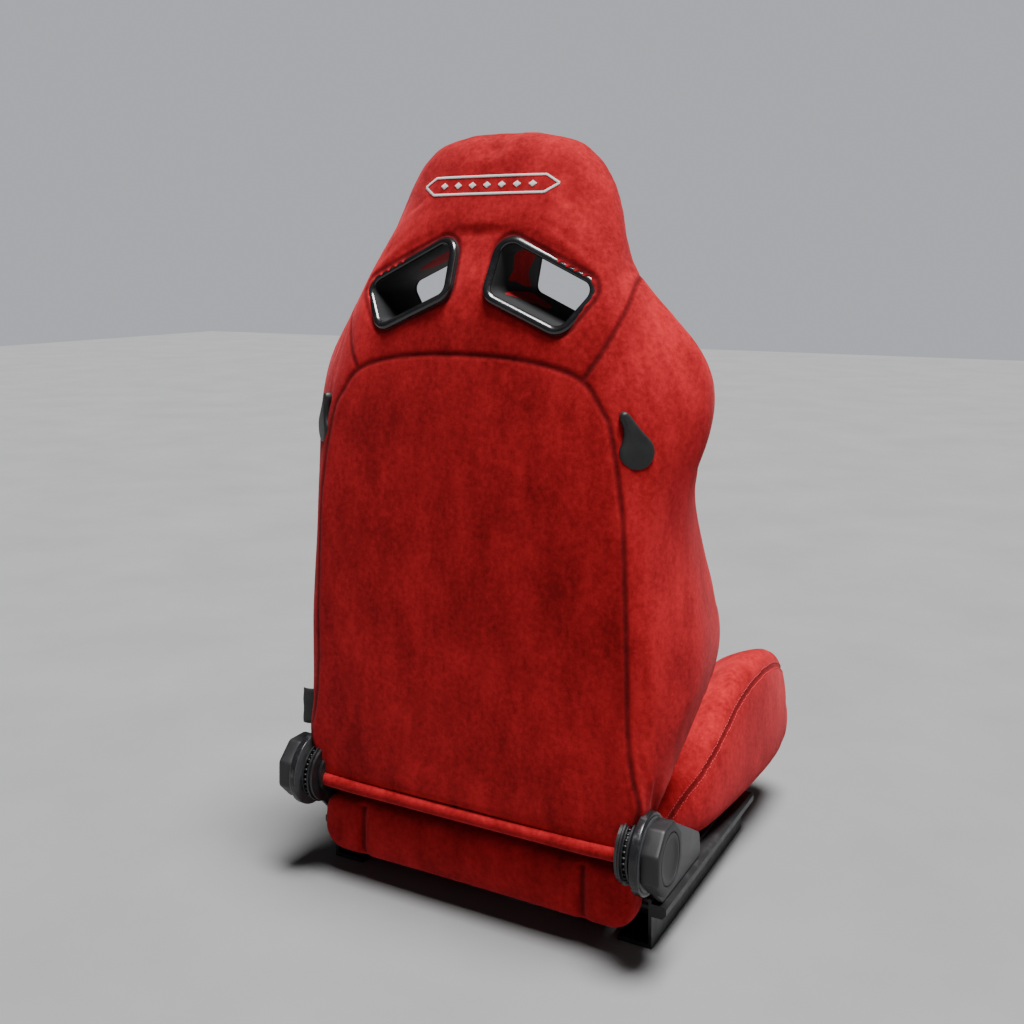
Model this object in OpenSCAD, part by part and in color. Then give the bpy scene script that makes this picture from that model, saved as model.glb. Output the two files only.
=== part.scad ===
// Reclining sport seat with two harness slots, dial recliners and a folding backrest.
// +Z is up, the sitter faces -Y, and +X is the sitter's left.
// The origin is the middle of the four floor bolts, on the plane that the rails stand on.

/* [Mounting] */
// Distance between the left and right floor bolts
bolt_spacing_x = 405; // [390:1:415]
// Distance between the front and rear floor bolts
bolt_spacing_y = 290; // [260:1:300]
// Radius of each floor bolt hole
bolt_hole_r = 4; // [3.5:0.1:4.5]
// Radius of each lap belt anchor hole
belt_hole_r = 5.5; // [5:0.1:6]

/* [Recliner] */
// Recliner axis, distance behind the middle of the floor bolts
axis_y = 203; // [200:1:205]
// Height of the recliner axis above the floor plane
axis_z = 131; // [130:1:132]
// Radius of the shaft that ties the two dials together
shaft_r = 6; // [5:0.5:7]
// Radius of the fixed pivot hub that the backrest turns on
hub_r = 14; // [13:0.5:15]
// Radial running clearance of every turning fit
running_gap = 0.05; // [0.02:0.01:0.1]
// Width of each dial across its flats
dial_w = 74; // [70:1:78]
// Distance from the seat's middle to a dial's outer face
dial_face_x = 266; // [264:1:268]

/* [Backrest] */
// Height of the top of the head
head_z = 968; // [955:1:970]
// Height of the lower edge of the back panel
panel_low_z = 124; // [123:1:126]
// Radius of the main hoop tube
hoop_r = 12; // [10:0.5:12.5]
// Half width of the middle pad of the backrest
back_pad_half = 130; // [124:1:131]

/* [Cushion] */
// Half width of the middle pad of the cushion
cushion_half = 150; // [140:1:150.5]
// Front of the cushion, measured forward from the middle of the bolts
cushion_front_y = 312; // [306:1:316]
// Height of the cushion's underside
cushion_low_z = 62; // [61.5:0.5:63]

/* [Shoulder levers] */
// Distance of a lever's axis from the seat's middle, at its outer face
lever_x = 223; // [222:1:225]
// Height of a lever's axis
lever_z = 584; // [580:1:588]
// Angle of a lever's axis, turned outward from straight back
lever_turn = 40; // [36:1:42]

/* [Hidden] */
$fn = 48;
RIGHT = -1;
LEFT = 1;

SUEDE = "firebrick";
STEEL = "dimgray";
BLACK = [0.09, 0.09, 0.1];
COVER = [0.25, 0.25, 0.26];
FOAM = "darkred";

// Rail section, as distances from the seat's middle
web_in = 224;
web_out = 228;
lip_out = 246;
rail_top = 58;
rail_foot = 5;
rail_front = -172;
rail_rear = 166;
lip_low = 38;
lip_high = 53;

// Recliner stack, from the inside outwards
plate_in = 207.5;
plate_out = 211.5;
sector_in = 212;
sector_out = 215.5;
gear_in = 216;
gear_out = 229;
side_in = 229;
side_out = 232.5;
cover_in = 233;
cover_out = 243;
dial_in = 244;
gear_r = 38;
flange_r = 45;
skin = 4;

// Gap between soft pieces that lie side by side
seam_gap = 1;
// Front and rear of the space that the back frame lies in
cavity_front = 180;
cavity_rear = 213;
cavity_side = 214.6;

// One corner of an outline turned into an arc: p is the corner, a and b its neighbours
function unit(v) = v / norm(v);
function arc_corner(a, p, b, r, n) =
    let (u = unit(a - p), w = unit(b - p), half = acos(u * w) / 2)
    let (reach = r / tan(half), centre = p + unit(u + w) * r / sin(half))
    let (first = p + u * reach - centre, last = p + w * reach - centre)
    let (turn = acos(first * last / (r * r)), way = sign(first[0] * last[1] - first[1] * last[0]))
    [for (i = [0 : n]) let (t = way * turn * i / n)
        centre + [first[0] * cos(t) - first[1] * sin(t), first[0] * sin(t) + first[1] * cos(t)]];
function rounded(pts, r, n = 5) =
    let (c = len(pts))
    [for (i = [0 : c - 1]) each arc_corner(pts[(i + c - 1) % c], pts[i], pts[(i + 1) % c], r, n)];

// Outline moved outwards by d: lines are pushed out and crossed again
function grown(pts, d) =
    let (c = len(pts))
    [for (i = [0 : c - 1])
        let (a = pts[(i + c - 1) % c], p = pts[i], b = pts[(i + 1) % c])
        let (u = unit(p - a), w = unit(b - p), nu = [u[1], -u[0]], nw = [w[1], -w[0]])
        p + (nu + nw) * d / (1 + nu * nw)];

// A soft solid skinned over rings of equal point count
module skinned(rings) {
    n = len(rings[0]);
    m = len(rings);
    sides = [for (k = [0 : m - 2], i = [0 : n - 1]) let (j = (i + 1) % n)
        each [[k * n + i, (k + 1) * n + i, (k + 1) * n + j], [k * n + i, (k + 1) * n + j, k * n + j]]];
    caps = [[for (i = [0 : n - 1]) i], [for (i = [n - 1 : -1 : 0]) (m - 1) * n + i]];
    polyhedron(points = [for (r = rings) each r], faces = concat(sides, caps), convexity = 6);
}

// Rings run the other way round when a solid is mirrored by its side, so turn them back
function facing(ring, side) = side > 0 ? ring : [for (i = [len(ring) - 1 : -1 : 0]) ring[i]];

// Catmull-Rom value of a table of [station, values...] rows at station t
function row_at(rows, t, i = 0) =
    i >= len(rows) - 2 || t <= rows[i + 1][0] ? i : row_at(rows, t, i + 1);
function smooth_row(rows, t) =
    let (i = row_at(rows, t), a = rows[max(i - 1, 0)], b = rows[i])
    let (c = rows[i + 1], d = rows[min(i + 2, len(rows) - 1)], u = (t - b[0]) / (c[0] - b[0]))
    let (u2 = u * u, u3 = u2 * u)
    0.5 * (2 * b + (c - a) * u + (2 * a - 5 * b + 4 * c - d) * u2 + (3 * b - a - 3 * c + d) * u3);

// A straight round bar between two points, and a bent one through several
module bar(a, b, r) {
    v = b - a;
    translate(a)
        rotate([0, acos(v[2] / norm(v)), atan2(v[1], v[0])])
            cylinder(h = norm(v), r = r);
}
module bent_bar(pts, r) {
    last = len(pts) - 2;
    for (i = [0 : last]) {
        along = unit(pts[i + 1] - pts[i]) * r * 0.35;
        bar(pts[i] - (i > 0 ? along : [0, 0, 0]), pts[i + 1] + (i < last ? along : [0, 0, 0]), r);
    }
}
// A disc or ring across the seat, between two distances from its middle
module across(side, from, to, r) {
    translate([side > 0 ? from : -to, axis_y, axis_z])
        rotate([0, 90, 0])
            cylinder(h = to - from, r = r);
}
// An outline in the Y-Z plane as a plate between two distances from the seat's middle
module side_plate(side, from, to, outline) {
    translate([side > 0 ? from : -to, 0, 0])
        rotate([90, 0, 90])
            linear_extrude(to - from)
                polygon(outline);
}

// ---- Floor structure ----
module side_rail(side) {
    s = side > 0 ? 0 : 1;
    rail_len = rail_rear - rail_front;
    color(STEEL)
        difference() {
            mirror([s, 0, 0])
                translate([0, rail_rear, 0])
                    rotate([90, 0, 0])
                        linear_extrude(rail_len)
                            polygon([[185, 0], [web_out, 0], [web_out, lip_low], [lip_out - 5, lip_low],
                                [lip_out, lip_low + 5], [lip_out, lip_high - 3],
                                [lip_out - 3, lip_high], [web_out, lip_high], [web_out, rail_top],
                                [196, rail_top], [196, rail_top - skin], [web_in, rail_top - skin],
                                [web_in, rail_foot], [185, rail_foot]]);
            for (y = [-1, 1])
                translate([side * bolt_spacing_x / 2, y * bolt_spacing_y / 2, -1])
                    cylinder(h = rail_foot + 2, r = bolt_hole_r);
            translate([side * web_in - 6, 95, 24])
                rotate([0, 90, 0])
                    cylinder(h = 12, r = belt_hole_r);
        }
}
module crossmember(y) {
    color(STEEL)
        difference() {
            bar([-web_in, y, 32], [web_in, y, 32], 11);
            bar([-web_in - 1, y, 32], [web_in + 1, y, 32], 9);
        }
}
pan_front = -280;
pan_rear = 110;
module seat_pan() {
    outline = rounded([[-214, pan_front], [214, pan_front], [205, pan_rear], [-205, pan_rear]], 28);
    hole = rounded([[-150, -190], [150, -190], [150, 60], [-150, 60]], 40);
    color(STEEL)
        translate([0, 0, rail_top])
            difference() {
                linear_extrude(3) polygon(outline);
                translate([0, 0, -1]) linear_extrude(5) polygon(hole);
            }
}
// A flat zigzag spring along X, centred on the origin
module zigzag(bends, step, wave, wire) {
    line = [for (k = [0 : bends]) [(k - bends / 2) * step, k % 2 == 0 ? -wave : wave]];
    upper = [for (p = line) p + [0, wire]];
    lower = [for (k = [bends : -1 : 0]) line[k] - [0, wire]];
    linear_extrude(2 * wire) polygon(concat(upper, lower));
}
module cushion_springs() {
    color("silver")
        for (i = [-3 : 3])
            translate([i * 40, -65, rail_top - 1])
                rotate([0, 0, 90]) zigzag(12, 20, 6, 1.4);
}

// ---- Cushion ----
module cushion_pad() {
    color(FOAM)
        translate([-cushion_half, 0, 0])
            rotate([90, 0, 90])
                linear_extrude(2 * cushion_half)
                    polygon([[-258, cushion_low_z], [70, cushion_low_z], [88, 80], [90, 128], [80, 148],
                        [40, 158], [-60, 160], [-150, 168], [-220, 180], [-258, 184]]);
}
module cushion_front() {
    nose = cushion_front_y;
    color(FOAM)
        translate([-cushion_half, 0, 0])
            rotate([90, 0, 90])
                linear_extrude(2 * cushion_half)
                    polygon(rounded([[-259, 68], [-259, 185], [4 - nose, 178], [-nose, 128],
                        [14 - nose, 76]], 6, 4));
}
// Station along the cushion, outer edge, seam edge, height of the seam, top and inner height
CUSHION_SIDE = [[88, 204, 196, 112, 116, 118], [40, 214, 205, 130, 137, 140],
    [0, 221, 212, 146, 156, 150], [-50, 232, 222, 176, 196, 160], [-100, 248, 238, 220, 240, 172],
    [-160, 257, 247, 234, 250, 178], [-220, 259, 249, 226, 240, 184], [-270, 257, 246, 202, 214, 184],
    [-298, 250, 238, 172, 184, 168], [-312, 236, 224, 142, 150, 140]];
module cushion_bolster(side) {
    inner = cushion_half + seam_gap;
    rows = [for (r = CUSHION_SIDE) concat([-r[0]], [for (k = [1 : 5]) r[k]])];
    stations = [for (y = [88 : -40 : -272]) y];
    rings = [for (y = stations)
        let (v = smooth_row(rows, -y))
        [[inner, cushion_low_z], [v[1] - 18, cushion_low_z], [v[1] - 6, 74], [v[1], 96],
            [v[1], 0.4 * 96 + 0.6 * v[3]], [v[2] + 4, v[3]], [v[2] - 12, v[4]],
            [v[2] - 34, v[4] - 2], [v[2] - 56, (v[4] + v[5]) / 2], [inner, v[5]]]];
    last = CUSHION_SIDE[len(CUSHION_SIDE) - 2];
    tip = CUSHION_SIDE[len(CUSHION_SIDE) - 1];
    ends = [for (v = [last, tip])
        [[inner, 76], [v[1] - 24, 78], [v[1] - 8, 86], [v[1], 100],
            [v[1], 0.5 * (100 + v[3])], [v[2] + 4, v[3]], [v[2] - 12, v[4]],
            [v[2] - 34, v[4] - 2], [v[2] - 56, (v[4] + v[5]) / 2], [inner, v[5]]]];
    all_rings = concat(rings, ends);
    all_stations = concat(stations, [last[0], tip[0]]);
    color(SUEDE)
        skinned([for (k = [0 : len(all_rings) - 1])
            facing([for (p = all_rings[k]) [side * p[0], all_stations[k], p[1]]], side)]);
}
module cushion_skirt() {
    outer = [[-214, 168], [-214, 204], [214, 204], [214, 168]];
    inner = [[-209, 168], [-209, 199], [209, 199], [209, 168]];
    color(SUEDE)
        difference() {
            translate([0, 0, 27])
                linear_extrude(77)
                    polygon(concat([outer[0]], arc_corner(outer[0], outer[1], outer[2], 26, 6),
                        arc_corner(outer[1], outer[2], outer[3], 26, 6), [outer[3], inner[3]],
                        arc_corner(inner[3], inner[2], inner[1], 21, 6),
                        arc_corner(inner[2], inner[1], inner[0], 21, 6), [inner[0]]));
            for (side = [LEFT, RIGHT])
                translate([side * 214 - 9, 140, 90]) cube([18, 80, 20]);
        }
}

// ---- Recliners ----
SIDE_OUTLINE = [[240, 128], [226, 162], [188, 170], [34, 84], [30, 54], [160, 54], [188, 82]];
module recliner_plate(side) {
    color(STEEL)
        difference() {
            side_plate(side, side_in, side_out, rounded([[232, 128], [222, 156], [188, 164], [44, 82],
                [44, rail_top], [164, rail_top], [184, 88]], 8));
            across(side, side_in - 1, side_out + 1, shaft_r + 2);
        }
    color(STEEL)
        side_plate(side, web_in, side_in, [[60, rail_top], [150, rail_top], [140, 80], [70, 74]]);
}
module recliner_gear(side) {
    outline = [[shaft_r + running_gap, plate_in - 4], [hub_r, plate_in - 4], [hub_r, gear_in],
        [gear_r - 6, gear_in], [gear_r, gear_in + 1], [gear_r, gear_in + 3], [gear_r - 3, gear_in + 4],
        [gear_r - 3, gear_in + 5], [17, gear_in + 5], [17, gear_out - 3], [gear_r - 2, gear_out - 3],
        [gear_r - 2, gear_out - 1], [gear_r - 5, gear_out], [shaft_r + running_gap, gear_out]];
    color(BLACK)
        translate([0, axis_y, axis_z])
            rotate([0, side * 90, 0])
                rotate_extrude(convexity = 6)
                    polygon(outline);
}
module spiral_spring(side) {
    turns = 3;
    pitch = 4.4;
    start_r = 19;
    steps = 24 * turns;
    function on_spiral(i, off) =
        let (r = start_r + pitch * i / 24 + off, a = 360 * i / 24) [r * cos(a), r * sin(a)];
    color("dimgray")
        translate([side * (gear_in + 5.4), axis_y, axis_z])
            rotate([0, side * 90, 0])
                linear_extrude(4)
                    polygon(concat([for (i = [0 : steps]) on_spiral(i, 0)],
                        [for (i = [steps : -1 : 0]) on_spiral(i, 1.8)]));
}
module recliner_cover(side) {
    color(COVER)
        difference() {
            union() {
                side_plate(side, cover_in, cover_out - 3, rounded(SIDE_OUTLINE, 9));
                across(side, cover_in, cover_out, flange_r);
            }
            across(side, cover_in - 1, cover_out + 1, shaft_r + 3);
        }
}
module rail_bolts() {
    color("silver")
        for (side = [LEFT, RIGHT], y = [84, 124])
            translate([side * (side_in - 13), y, 68])
                rotate([0, side * 90, 0])
                    cylinder(h = 8, r = 6, $fn = 6);
}
module fold_sector(side) {
    color(STEEL)
        difference() {
            union() {
                across(side, sector_in, sector_out, 36);
                side_plate(side, sector_in, sector_out,
                    [[axis_y - 30, axis_z], [axis_y - 44, axis_z + 8], [axis_y - 40, axis_z + 20],
                        [axis_y - 20, axis_z + 26]]);
            }
            across(side, sector_in - 1, sector_out + 1, hub_r + running_gap);
        }
}
module sync_shaft() {
    color("silver")
        translate([-256, axis_y, axis_z])
            rotate([0, 90, 0])
                cylinder(h = 512, r = shaft_r);
}
module dial(side) {
    corner = dial_w / 2 / cos(22.5);
    outline = [for (i = [0 : 7]) corner * [cos(22.5 + 45 * i), sin(22.5 + 45 * i)]];
    cap_r = 29;
    color(BLACK)
        difference() {
            translate([side > 0 ? dial_in : -dial_face_x, axis_y, axis_z])
                rotate([90, 0, 90])
                    linear_extrude(dial_face_x - dial_in)
                        polygon(rounded(outline, 11));
            across(side, dial_in - 1, 256, shaft_r);
            across(side, dial_face_x - 5, dial_face_x + 1, cap_r);
        }
}
module dial_cap(side) {
    color([0.2, 0.2, 0.21])
        difference() {
            across(side, dial_face_x - 5, dial_face_x - 1, 28);
            across(side, dial_face_x - 2.5, dial_face_x, 22);
        }
}

// ---- Back frame ----
HOOP = [[188, 196, 250], [188, 196, 460], [144, 196, 680]];
module back_hoop() {
    mirrored = [for (i = [2 : -1 : 0]) [-HOOP[i][0], HOOP[i][1], HOOP[i][2]]];
    color(STEEL)
        bent_bar(concat(HOOP, mirrored), hoop_r);
}
module hinge_plate(side) {
    color(STEEL)
        difference() {
            union() {
                across(side, plate_in, plate_out, 24);
                side_plate(side, plate_in, plate_out, [[axis_y - 23, axis_z + 4], [axis_y - 10, axis_z - 20],
                    [axis_y + 6, axis_z + 22], [209, 175], [209, 330], [183, 330], [183, 200]]);
                side_plate(side, 200.5, plate_in, [[209, 262], [209, 320], [184, 320], [184, 262]]);
            }
            across(side, plate_in - 1, plate_out + 1, hub_r + running_gap);
        }
}
module lower_crossbar() {
    color(STEEL)
        bar([-175, 196, 270], [175, 196, 270], 9);
}
module upper_crossbar() {
    color(STEEL)
        bar([-157.5, 196, 540], [157.5, 196, 540], 9);
}
// The head posts rise from the hoop's top and lean forward into the head
module head_frame() {
    color(STEEL) {
        for (side = [LEFT, RIGHT])
            bent_bar([[side * 16, 188, 692], [side * 16, 128, 775], [side * 16, 128, 837]], 6);
        bar([-80, 128, 843], [80, 128, 843], 6);
    }
}
module back_springs() {
    color("silver")
        for (z = [317, 361, 405, 449])
            translate([0, 198, z])
                rotate([90, 0, 0]) zigzag(14, 24.5, 7, 1.5);
}

// ---- Backrest trim ----
// Half width of the hem and of the panel's lower end, which stay clear of the recliner hubs
hem_half = 202.5;
// Height, half width of the back panel at that height
PANEL_EDGE = [[panel_low_z, hem_half], [148, hem_half], [149, 206], [176, 207], [182, 231], [214, 223], [306, 217], [419, 215],
    [509, 211], [576, 202], [610, 192], [640, 176], [663, 150], [680, 106], [688, 50]];
module back_panel() {
    left = [for (p = PANEL_EDGE) [p[1], p[0]]];
    right = [for (i = [len(PANEL_EDGE) - 1 : -1 : 0]) [-PANEL_EDGE[i][1], PANEL_EDGE[i][0]]];
    color(SUEDE)
        translate([0, 218, 0])
            rotate([90, 0, 0])
                linear_extrude(4)
                    polygon(concat(left, right));
}
module back_hem() {
    color(SUEDE)
        bar([-hem_half, 216, 119], [hem_half, 216, 119], 4.5);
}
module back_pad() {
    color(FOAM)
        translate([-back_pad_half, 0, 0])
            rotate([90, 0, 90])
                linear_extrude(2 * back_pad_half)
                    polygon([[178, 162], [172, 152], [132, 152], [116, 166], [106, 210], [101, 260],
                        [101, 300], [107, 400], [116, 500], [118, 580], [110, 640], [100, 698],
                        [178, 698]]);
}
// Height, cavity width, panel corner width, rear, widest point, its depth, front, pad front
BACK_SIDE = [[183, 214.6, 228, 213, 238, 190, 126, 132], [214, 214.6, 223, 213, 245, 170, 86, 116],
    [250, 214.6, 220, 213, 254, 150, 48, 108], [295, 214.6, 218, 213, 263, 130, 14, 104],
    [330, 214.6, 218, 213, 264, 125, 6, 104], [386, 213, 217, 213, 259, 125, 14, 108],
    [452, 211, 214, 213, 251, 130, 31, 114], [505, 208, 211, 213, 250, 135, 50, 118],
    [550, 203, 206, 213, 258, 130, 66, 120], [590, 198, 201, 213, 271, 120, 66, 120],
    [631, 178, 182, 213, 275, 110, 52, 114], [665, 166, 172, 211, 274, 105, 60, 108],
    [700, 152, 162, 205, 262, 108, 76, 104]];
function side_ring(z) =
    let (v = smooth_row(BACK_SIDE, z), inner = back_pad_half + seam_gap)
    [[inner, cavity_front], [v[1], cavity_front], [v[1], v[3]], [v[2], v[3]],
        [v[2] + 0.55 * (v[4] - v[2]), v[3] - 0.3 * (v[3] - v[5])], [v[4], v[5]],
        [v[4], 0.5 * (v[5] + v[6])], [v[4] - 6, v[6] + 16], [v[4] - 20, v[6]],
        [v[4] - 44, v[6] + 10], [inner + 24, v[7] - 22], [inner, v[7]]];
module side_foam(side, zs) {
    skinned([for (z = zs) facing([for (p = side_ring(z)) [side * p[0], p[1], z]], -side)]);
}
module back_bolster(side) {
    color(SUEDE)
        side_foam(side, [for (i = [0 : 13]) 183 + i * (wing_low - 1.5 - 183) / 13]);
}
// Outline of a harness slot as corners in the X-Z plane, and the plane that its rear ring lies in
SLOT = [[34, 765], [39, 829], [160, 771], [127, 724]];
slot_ref = [34, 203, 765];
slot_dx = -0.2035;
slot_dz = -0.437;
slot_wall = 3;
ring_w = 11;
front_ref_y = 82;
front_dz = -0.22;
// Top of the shoulder wing: height, outer edge, its depth, front
WING_TOP = [[702, 263, 108, 76], [725, 250, 108, 82], [746, 226, 108, 90], [762, 200, 110, 98]];
// The wing starts just under the lever base, and is cut back flat behind it up to this height
wing_low = 553.5;
recess_top = 636;
function recessed(ring) = concat([ring[0], [185.5, cavity_front], [185.5, 202], [187.5, 202],
    [235.3, 162.3]], [for (i = [5 : 11]) ring[i]]);
function wing_ring(z) = z <= recess_top ? recessed(side_ring(z)) : side_ring(z);
function wing_top_ring(v) = [[178, cavity_front], [179, cavity_front + 10],
    [180, cavity_front + 16], [183, cavity_front + 18], [max(v[1] - 22, 186), 172], [v[1], v[2] + 16],
    [v[1], v[2]], [v[1] - 4, v[3] + 10], [v[1] - 12, v[3]], [v[1] - 17, v[3]],
    [182, v[3] + 6], [178, v[3] + 14]];
module shoulder_wing(side) {
    levels = [wing_low, 572, 592, 614, recess_top, 639, 652, 670, 690];
    rings = concat([for (z = levels) [for (p = wing_ring(z)) [side * p[0], p[1], z]]],
        [for (v = WING_TOP) [for (p = wing_top_ring(v)) [side * p[0], p[1], v[0]]]]);
    color(SUEDE)
        skinned([for (r = rings) facing(r, -side)]);
}
// Height, half width, rear and front of the head at its middle and at its sides
HEAD = [[700, 176, 207, 182, 96], [740, 176, 205, 168, 90], [780, 170, 194, 160, 82],
    [829, 161, 175, 146, 68], [874, 151, 160, 132, 60], [910, 136, 149, 122, 60],
    [936, 112, 141, 116, 66], [954, 78, 130, 112, 78], [head_z, 48, 118, 106, 90]];
function head_ring(z) =
    let (v = smooth_row(HEAD, z), w = v[1], flat = 0.2 * (v[2] - v[3]))
    [[-0.5 * w, v[4]], [0.5 * w, v[4]], [0.84 * w, v[4] + 5], [w, v[4] + 22], [w, v[3] - 18],
        [0.94 * w, v[3] + flat], [0.55 * w, v[2] - 2 * flat], [0.2 * w, v[2]], [-0.2 * w, v[2]],
        [-0.55 * w, v[2] - 2 * flat], [-0.94 * w, v[3] + flat], [-w, v[3] - 18],
        [-w, v[4] + 22], [-0.84 * w, v[4] + 5]];
// Depths to which the head is cut back around the front and rear slot rings
pocket_front = 102;
pocket_rear = 155;
module slot_prism(side, extra, from, to) {
    mirror([side > 0 ? 0 : 1, 0, 0])
        translate([0, to, 0])
            rotate([90, 0, 0])
                linear_extrude(to - from)
                    polygon(rounded(grown(SLOT, -extra), 12 + extra));
}
module head_pad() {
    color(SUEDE)
        skinned([for (z = [block_top + 1, 866, 880, 896, 912, 926, 938, 948, 956, head_z])
            [for (p = head_ring(z)) [p[0], p[1], z]]]);
}
// Foam block at shoulder height, in three layers so that both rings of a slot sit in pockets
block_low = 702.5;
block_top = 852;
block_front = 78;
block_rear = 170;
module block_layer(from, to, extra) {
    translate([0, to, 0])
        rotate([90, 0, 0])
            linear_extrude(to - from)
                difference() {
                    polygon([[-176, block_low], [176, block_low], [172, 780], [156, block_top],
                        [-156, block_top], [-172, 780]]);
                    polygon(rounded(grown(SLOT, -extra), 12 + extra));
                    mirror([1, 0]) polygon(rounded(grown(SLOT, -extra), 12 + extra));
                }
}
module slot_block() {
    color(SUEDE)
        difference() {
            union() {
                block_layer(pocket_front, pocket_rear, slot_wall + 0.5);
                block_layer(block_front, pocket_front, ring_w + 1);
                block_layer(pocket_rear, block_rear, ring_w + 4);
            }
            translate([-24, 112, block_low - 1]) cube([48, 60, 140]);
            translate([-88, 119, 836]) cube([176, 18, 17]);
        }
}
// A ring lying in a tilted plane: corners of the slot are dropped on that plane first
module tilted_ring(side, ref, dx, dz, thick) {
    n = unit([-dx, 1, -dz]);
    ex = unit([n[1], -n[0], 0]);
    ey = cross(n, ex);
    local = [for (p = SLOT)
        let (y = ref[1] + dx * (p[0] - ref[0]) + dz * (p[1] - ref[2]), d = [p[0], y, p[1]] - ref)
        [d * ex, d * ey]];
    mirror([side > 0 ? 0 : 1, 0, 0])
        translate(ref)
            rotate([-acos(n[2]), 0, -atan2(n[0], n[1])])
                linear_extrude(thick)
                    difference() {
                        polygon(rounded(grown(local, ring_w), 12 + ring_w));
                        polygon(rounded(local, 12));
                    }
}
module slot_liner(side) {
    color(BLACK)
        union() {
            difference() {
                slot_prism(side, slot_wall, front_ref_y + 22, 168);
                slot_prism(side, 0, front_ref_y + 21, 169);
            }
            tilted_ring(side, [slot_ref[0], slot_ref[1] - 6, slot_ref[2]], slot_dx, slot_dz, 7);
        }
}
module slot_ring(side) {
    color(BLACK)
        tilted_ring(side, [slot_ref[0], front_ref_y - 2, slot_ref[2]], 0, front_dz, 7);
}

// ---- Shoulder levers ----
function lever_frame_point() = [lever_x, 198, lever_z];
module lever_place(side) {
    base = lever_frame_point();
    translate([side * base[0], base[1], base[2]])
        rotate([-90, 0, -side * lever_turn])
            children();
}
module lever_base(side) {
    color(BLACK)
        lever_place(side)
            translate([0, 0, -18])
                difference() {
                    union() {
                        cylinder(h = 9, r = 23);
                        translate([0, 0, 8]) cylinder(h = 4, r = 25);
                    }
                    translate([0, 0, -1]) cylinder(h = 14, r = 4 + running_gap);
                }
}
// A teardrop: a disc with a finger tip that leans back over it, and a pin behind
module lever(side) {
    tip = [-side * 15, -41];
    flank = [for (i = [0 : 8]) let (t = i / 8, a = (1 - t) * [-side * 21, -2] + t * (tip - [side * 5, -1]))
        a + [side * 5 * sin(180 * t), 0]];
    back = [for (i = [8 : -1 : 0]) let (t = i / 8)
        (1 - t) * [side * 19, -9] + t * (tip + [side * 4, -3])];
    color(BLACK)
        lever_place(side) {
            translate([0, 0, -5.5]) cylinder(h = 9.5, r = 21);
            translate([0, 0, -5.5])
                linear_extrude(9.5)
                    polygon(concat([[0, 0]], flank, back));
            translate([tip[0], tip[1], -5.5]) cylinder(h = 9.5, r = 5);
            translate([0, 0, -17]) cylinder(h = 12, r = 4);
        }
}
module release_cable(side) {
    color(BLACK)
        bent_bar([[side * 197.5, 189, 551], [side * 203.3, 196, 500], [side * 203.3, 196.5, 340]], 2);
}
module side_tag() {
    color([0.05, 0.05, 0.05])
        translate([236, 205, 190]) cube([14, 1.2, 46]);
}

side_rail(LEFT);  // side_rail_left
side_rail(RIGHT);  // side_rail_right
crossmember(-150);  // front_crossmember
crossmember(130);  // rear_crossmember
seat_pan();
cushion_springs();
cushion_pad();
cushion_bolster(LEFT);  // cushion_bolster_left
cushion_bolster(RIGHT);  // cushion_bolster_right
cushion_front();
cushion_skirt();
recliner_plate(LEFT);  // recliner_plate_left
recliner_plate(RIGHT);  // recliner_plate_right
recliner_gear(LEFT);  // recliner_gear_left
recliner_gear(RIGHT);  // recliner_gear_right
spiral_spring(LEFT);  // spiral_spring_left
spiral_spring(RIGHT);  // spiral_spring_right
recliner_cover(LEFT);  // recliner_cover_left
recliner_cover(RIGHT);  // recliner_cover_right
rail_bolts();
fold_sector(LEFT);  // fold_sector_left
fold_sector(RIGHT);  // fold_sector_right
sync_shaft();
dial(LEFT);  // dial_left
dial(RIGHT);  // dial_right
dial_cap(LEFT);  // dial_cap_left
dial_cap(RIGHT);  // dial_cap_right
back_hoop();
hinge_plate(LEFT);  // hinge_plate_left
hinge_plate(RIGHT);  // hinge_plate_right
lower_crossbar();
upper_crossbar();
head_frame();
back_springs();
back_panel();
back_hem();
back_pad();
back_bolster(LEFT);  // back_bolster_left
back_bolster(RIGHT);  // back_bolster_right
shoulder_wing(LEFT);  // shoulder_wing_left
shoulder_wing(RIGHT);  // shoulder_wing_right
head_pad();
slot_block();
slot_liner(LEFT);  // slot_liner_left
slot_liner(RIGHT);  // slot_liner_right
slot_ring(LEFT);  // slot_ring_left
slot_ring(RIGHT);  // slot_ring_right
lever_base(LEFT);  // lever_base_left
lever_base(RIGHT);  // lever_base_right
lever(LEFT);  // lever_left
lever(RIGHT);  // lever_right
release_cable(LEFT);  // release_cable_left
release_cable(RIGHT);  // release_cable_right
side_tag();
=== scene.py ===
# %% [markdown]
# # A reclining sport seat
#
# The lesson dresses a packed mechanical model of a red suede sport seat. The steel and the
# joints come from the frame. Everything that a hand would touch is made here: the padded
# covers with their seams, the harness slot rims, the dials, the levers and the stitches.
# The work order is a trimmer's own: look first, then foam, then cover, then thread.

# %% Load the frame
import math
import bpy
import bmesh
import numpy as np
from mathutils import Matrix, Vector
from mathutils.bvhtree import BVHTree


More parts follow.
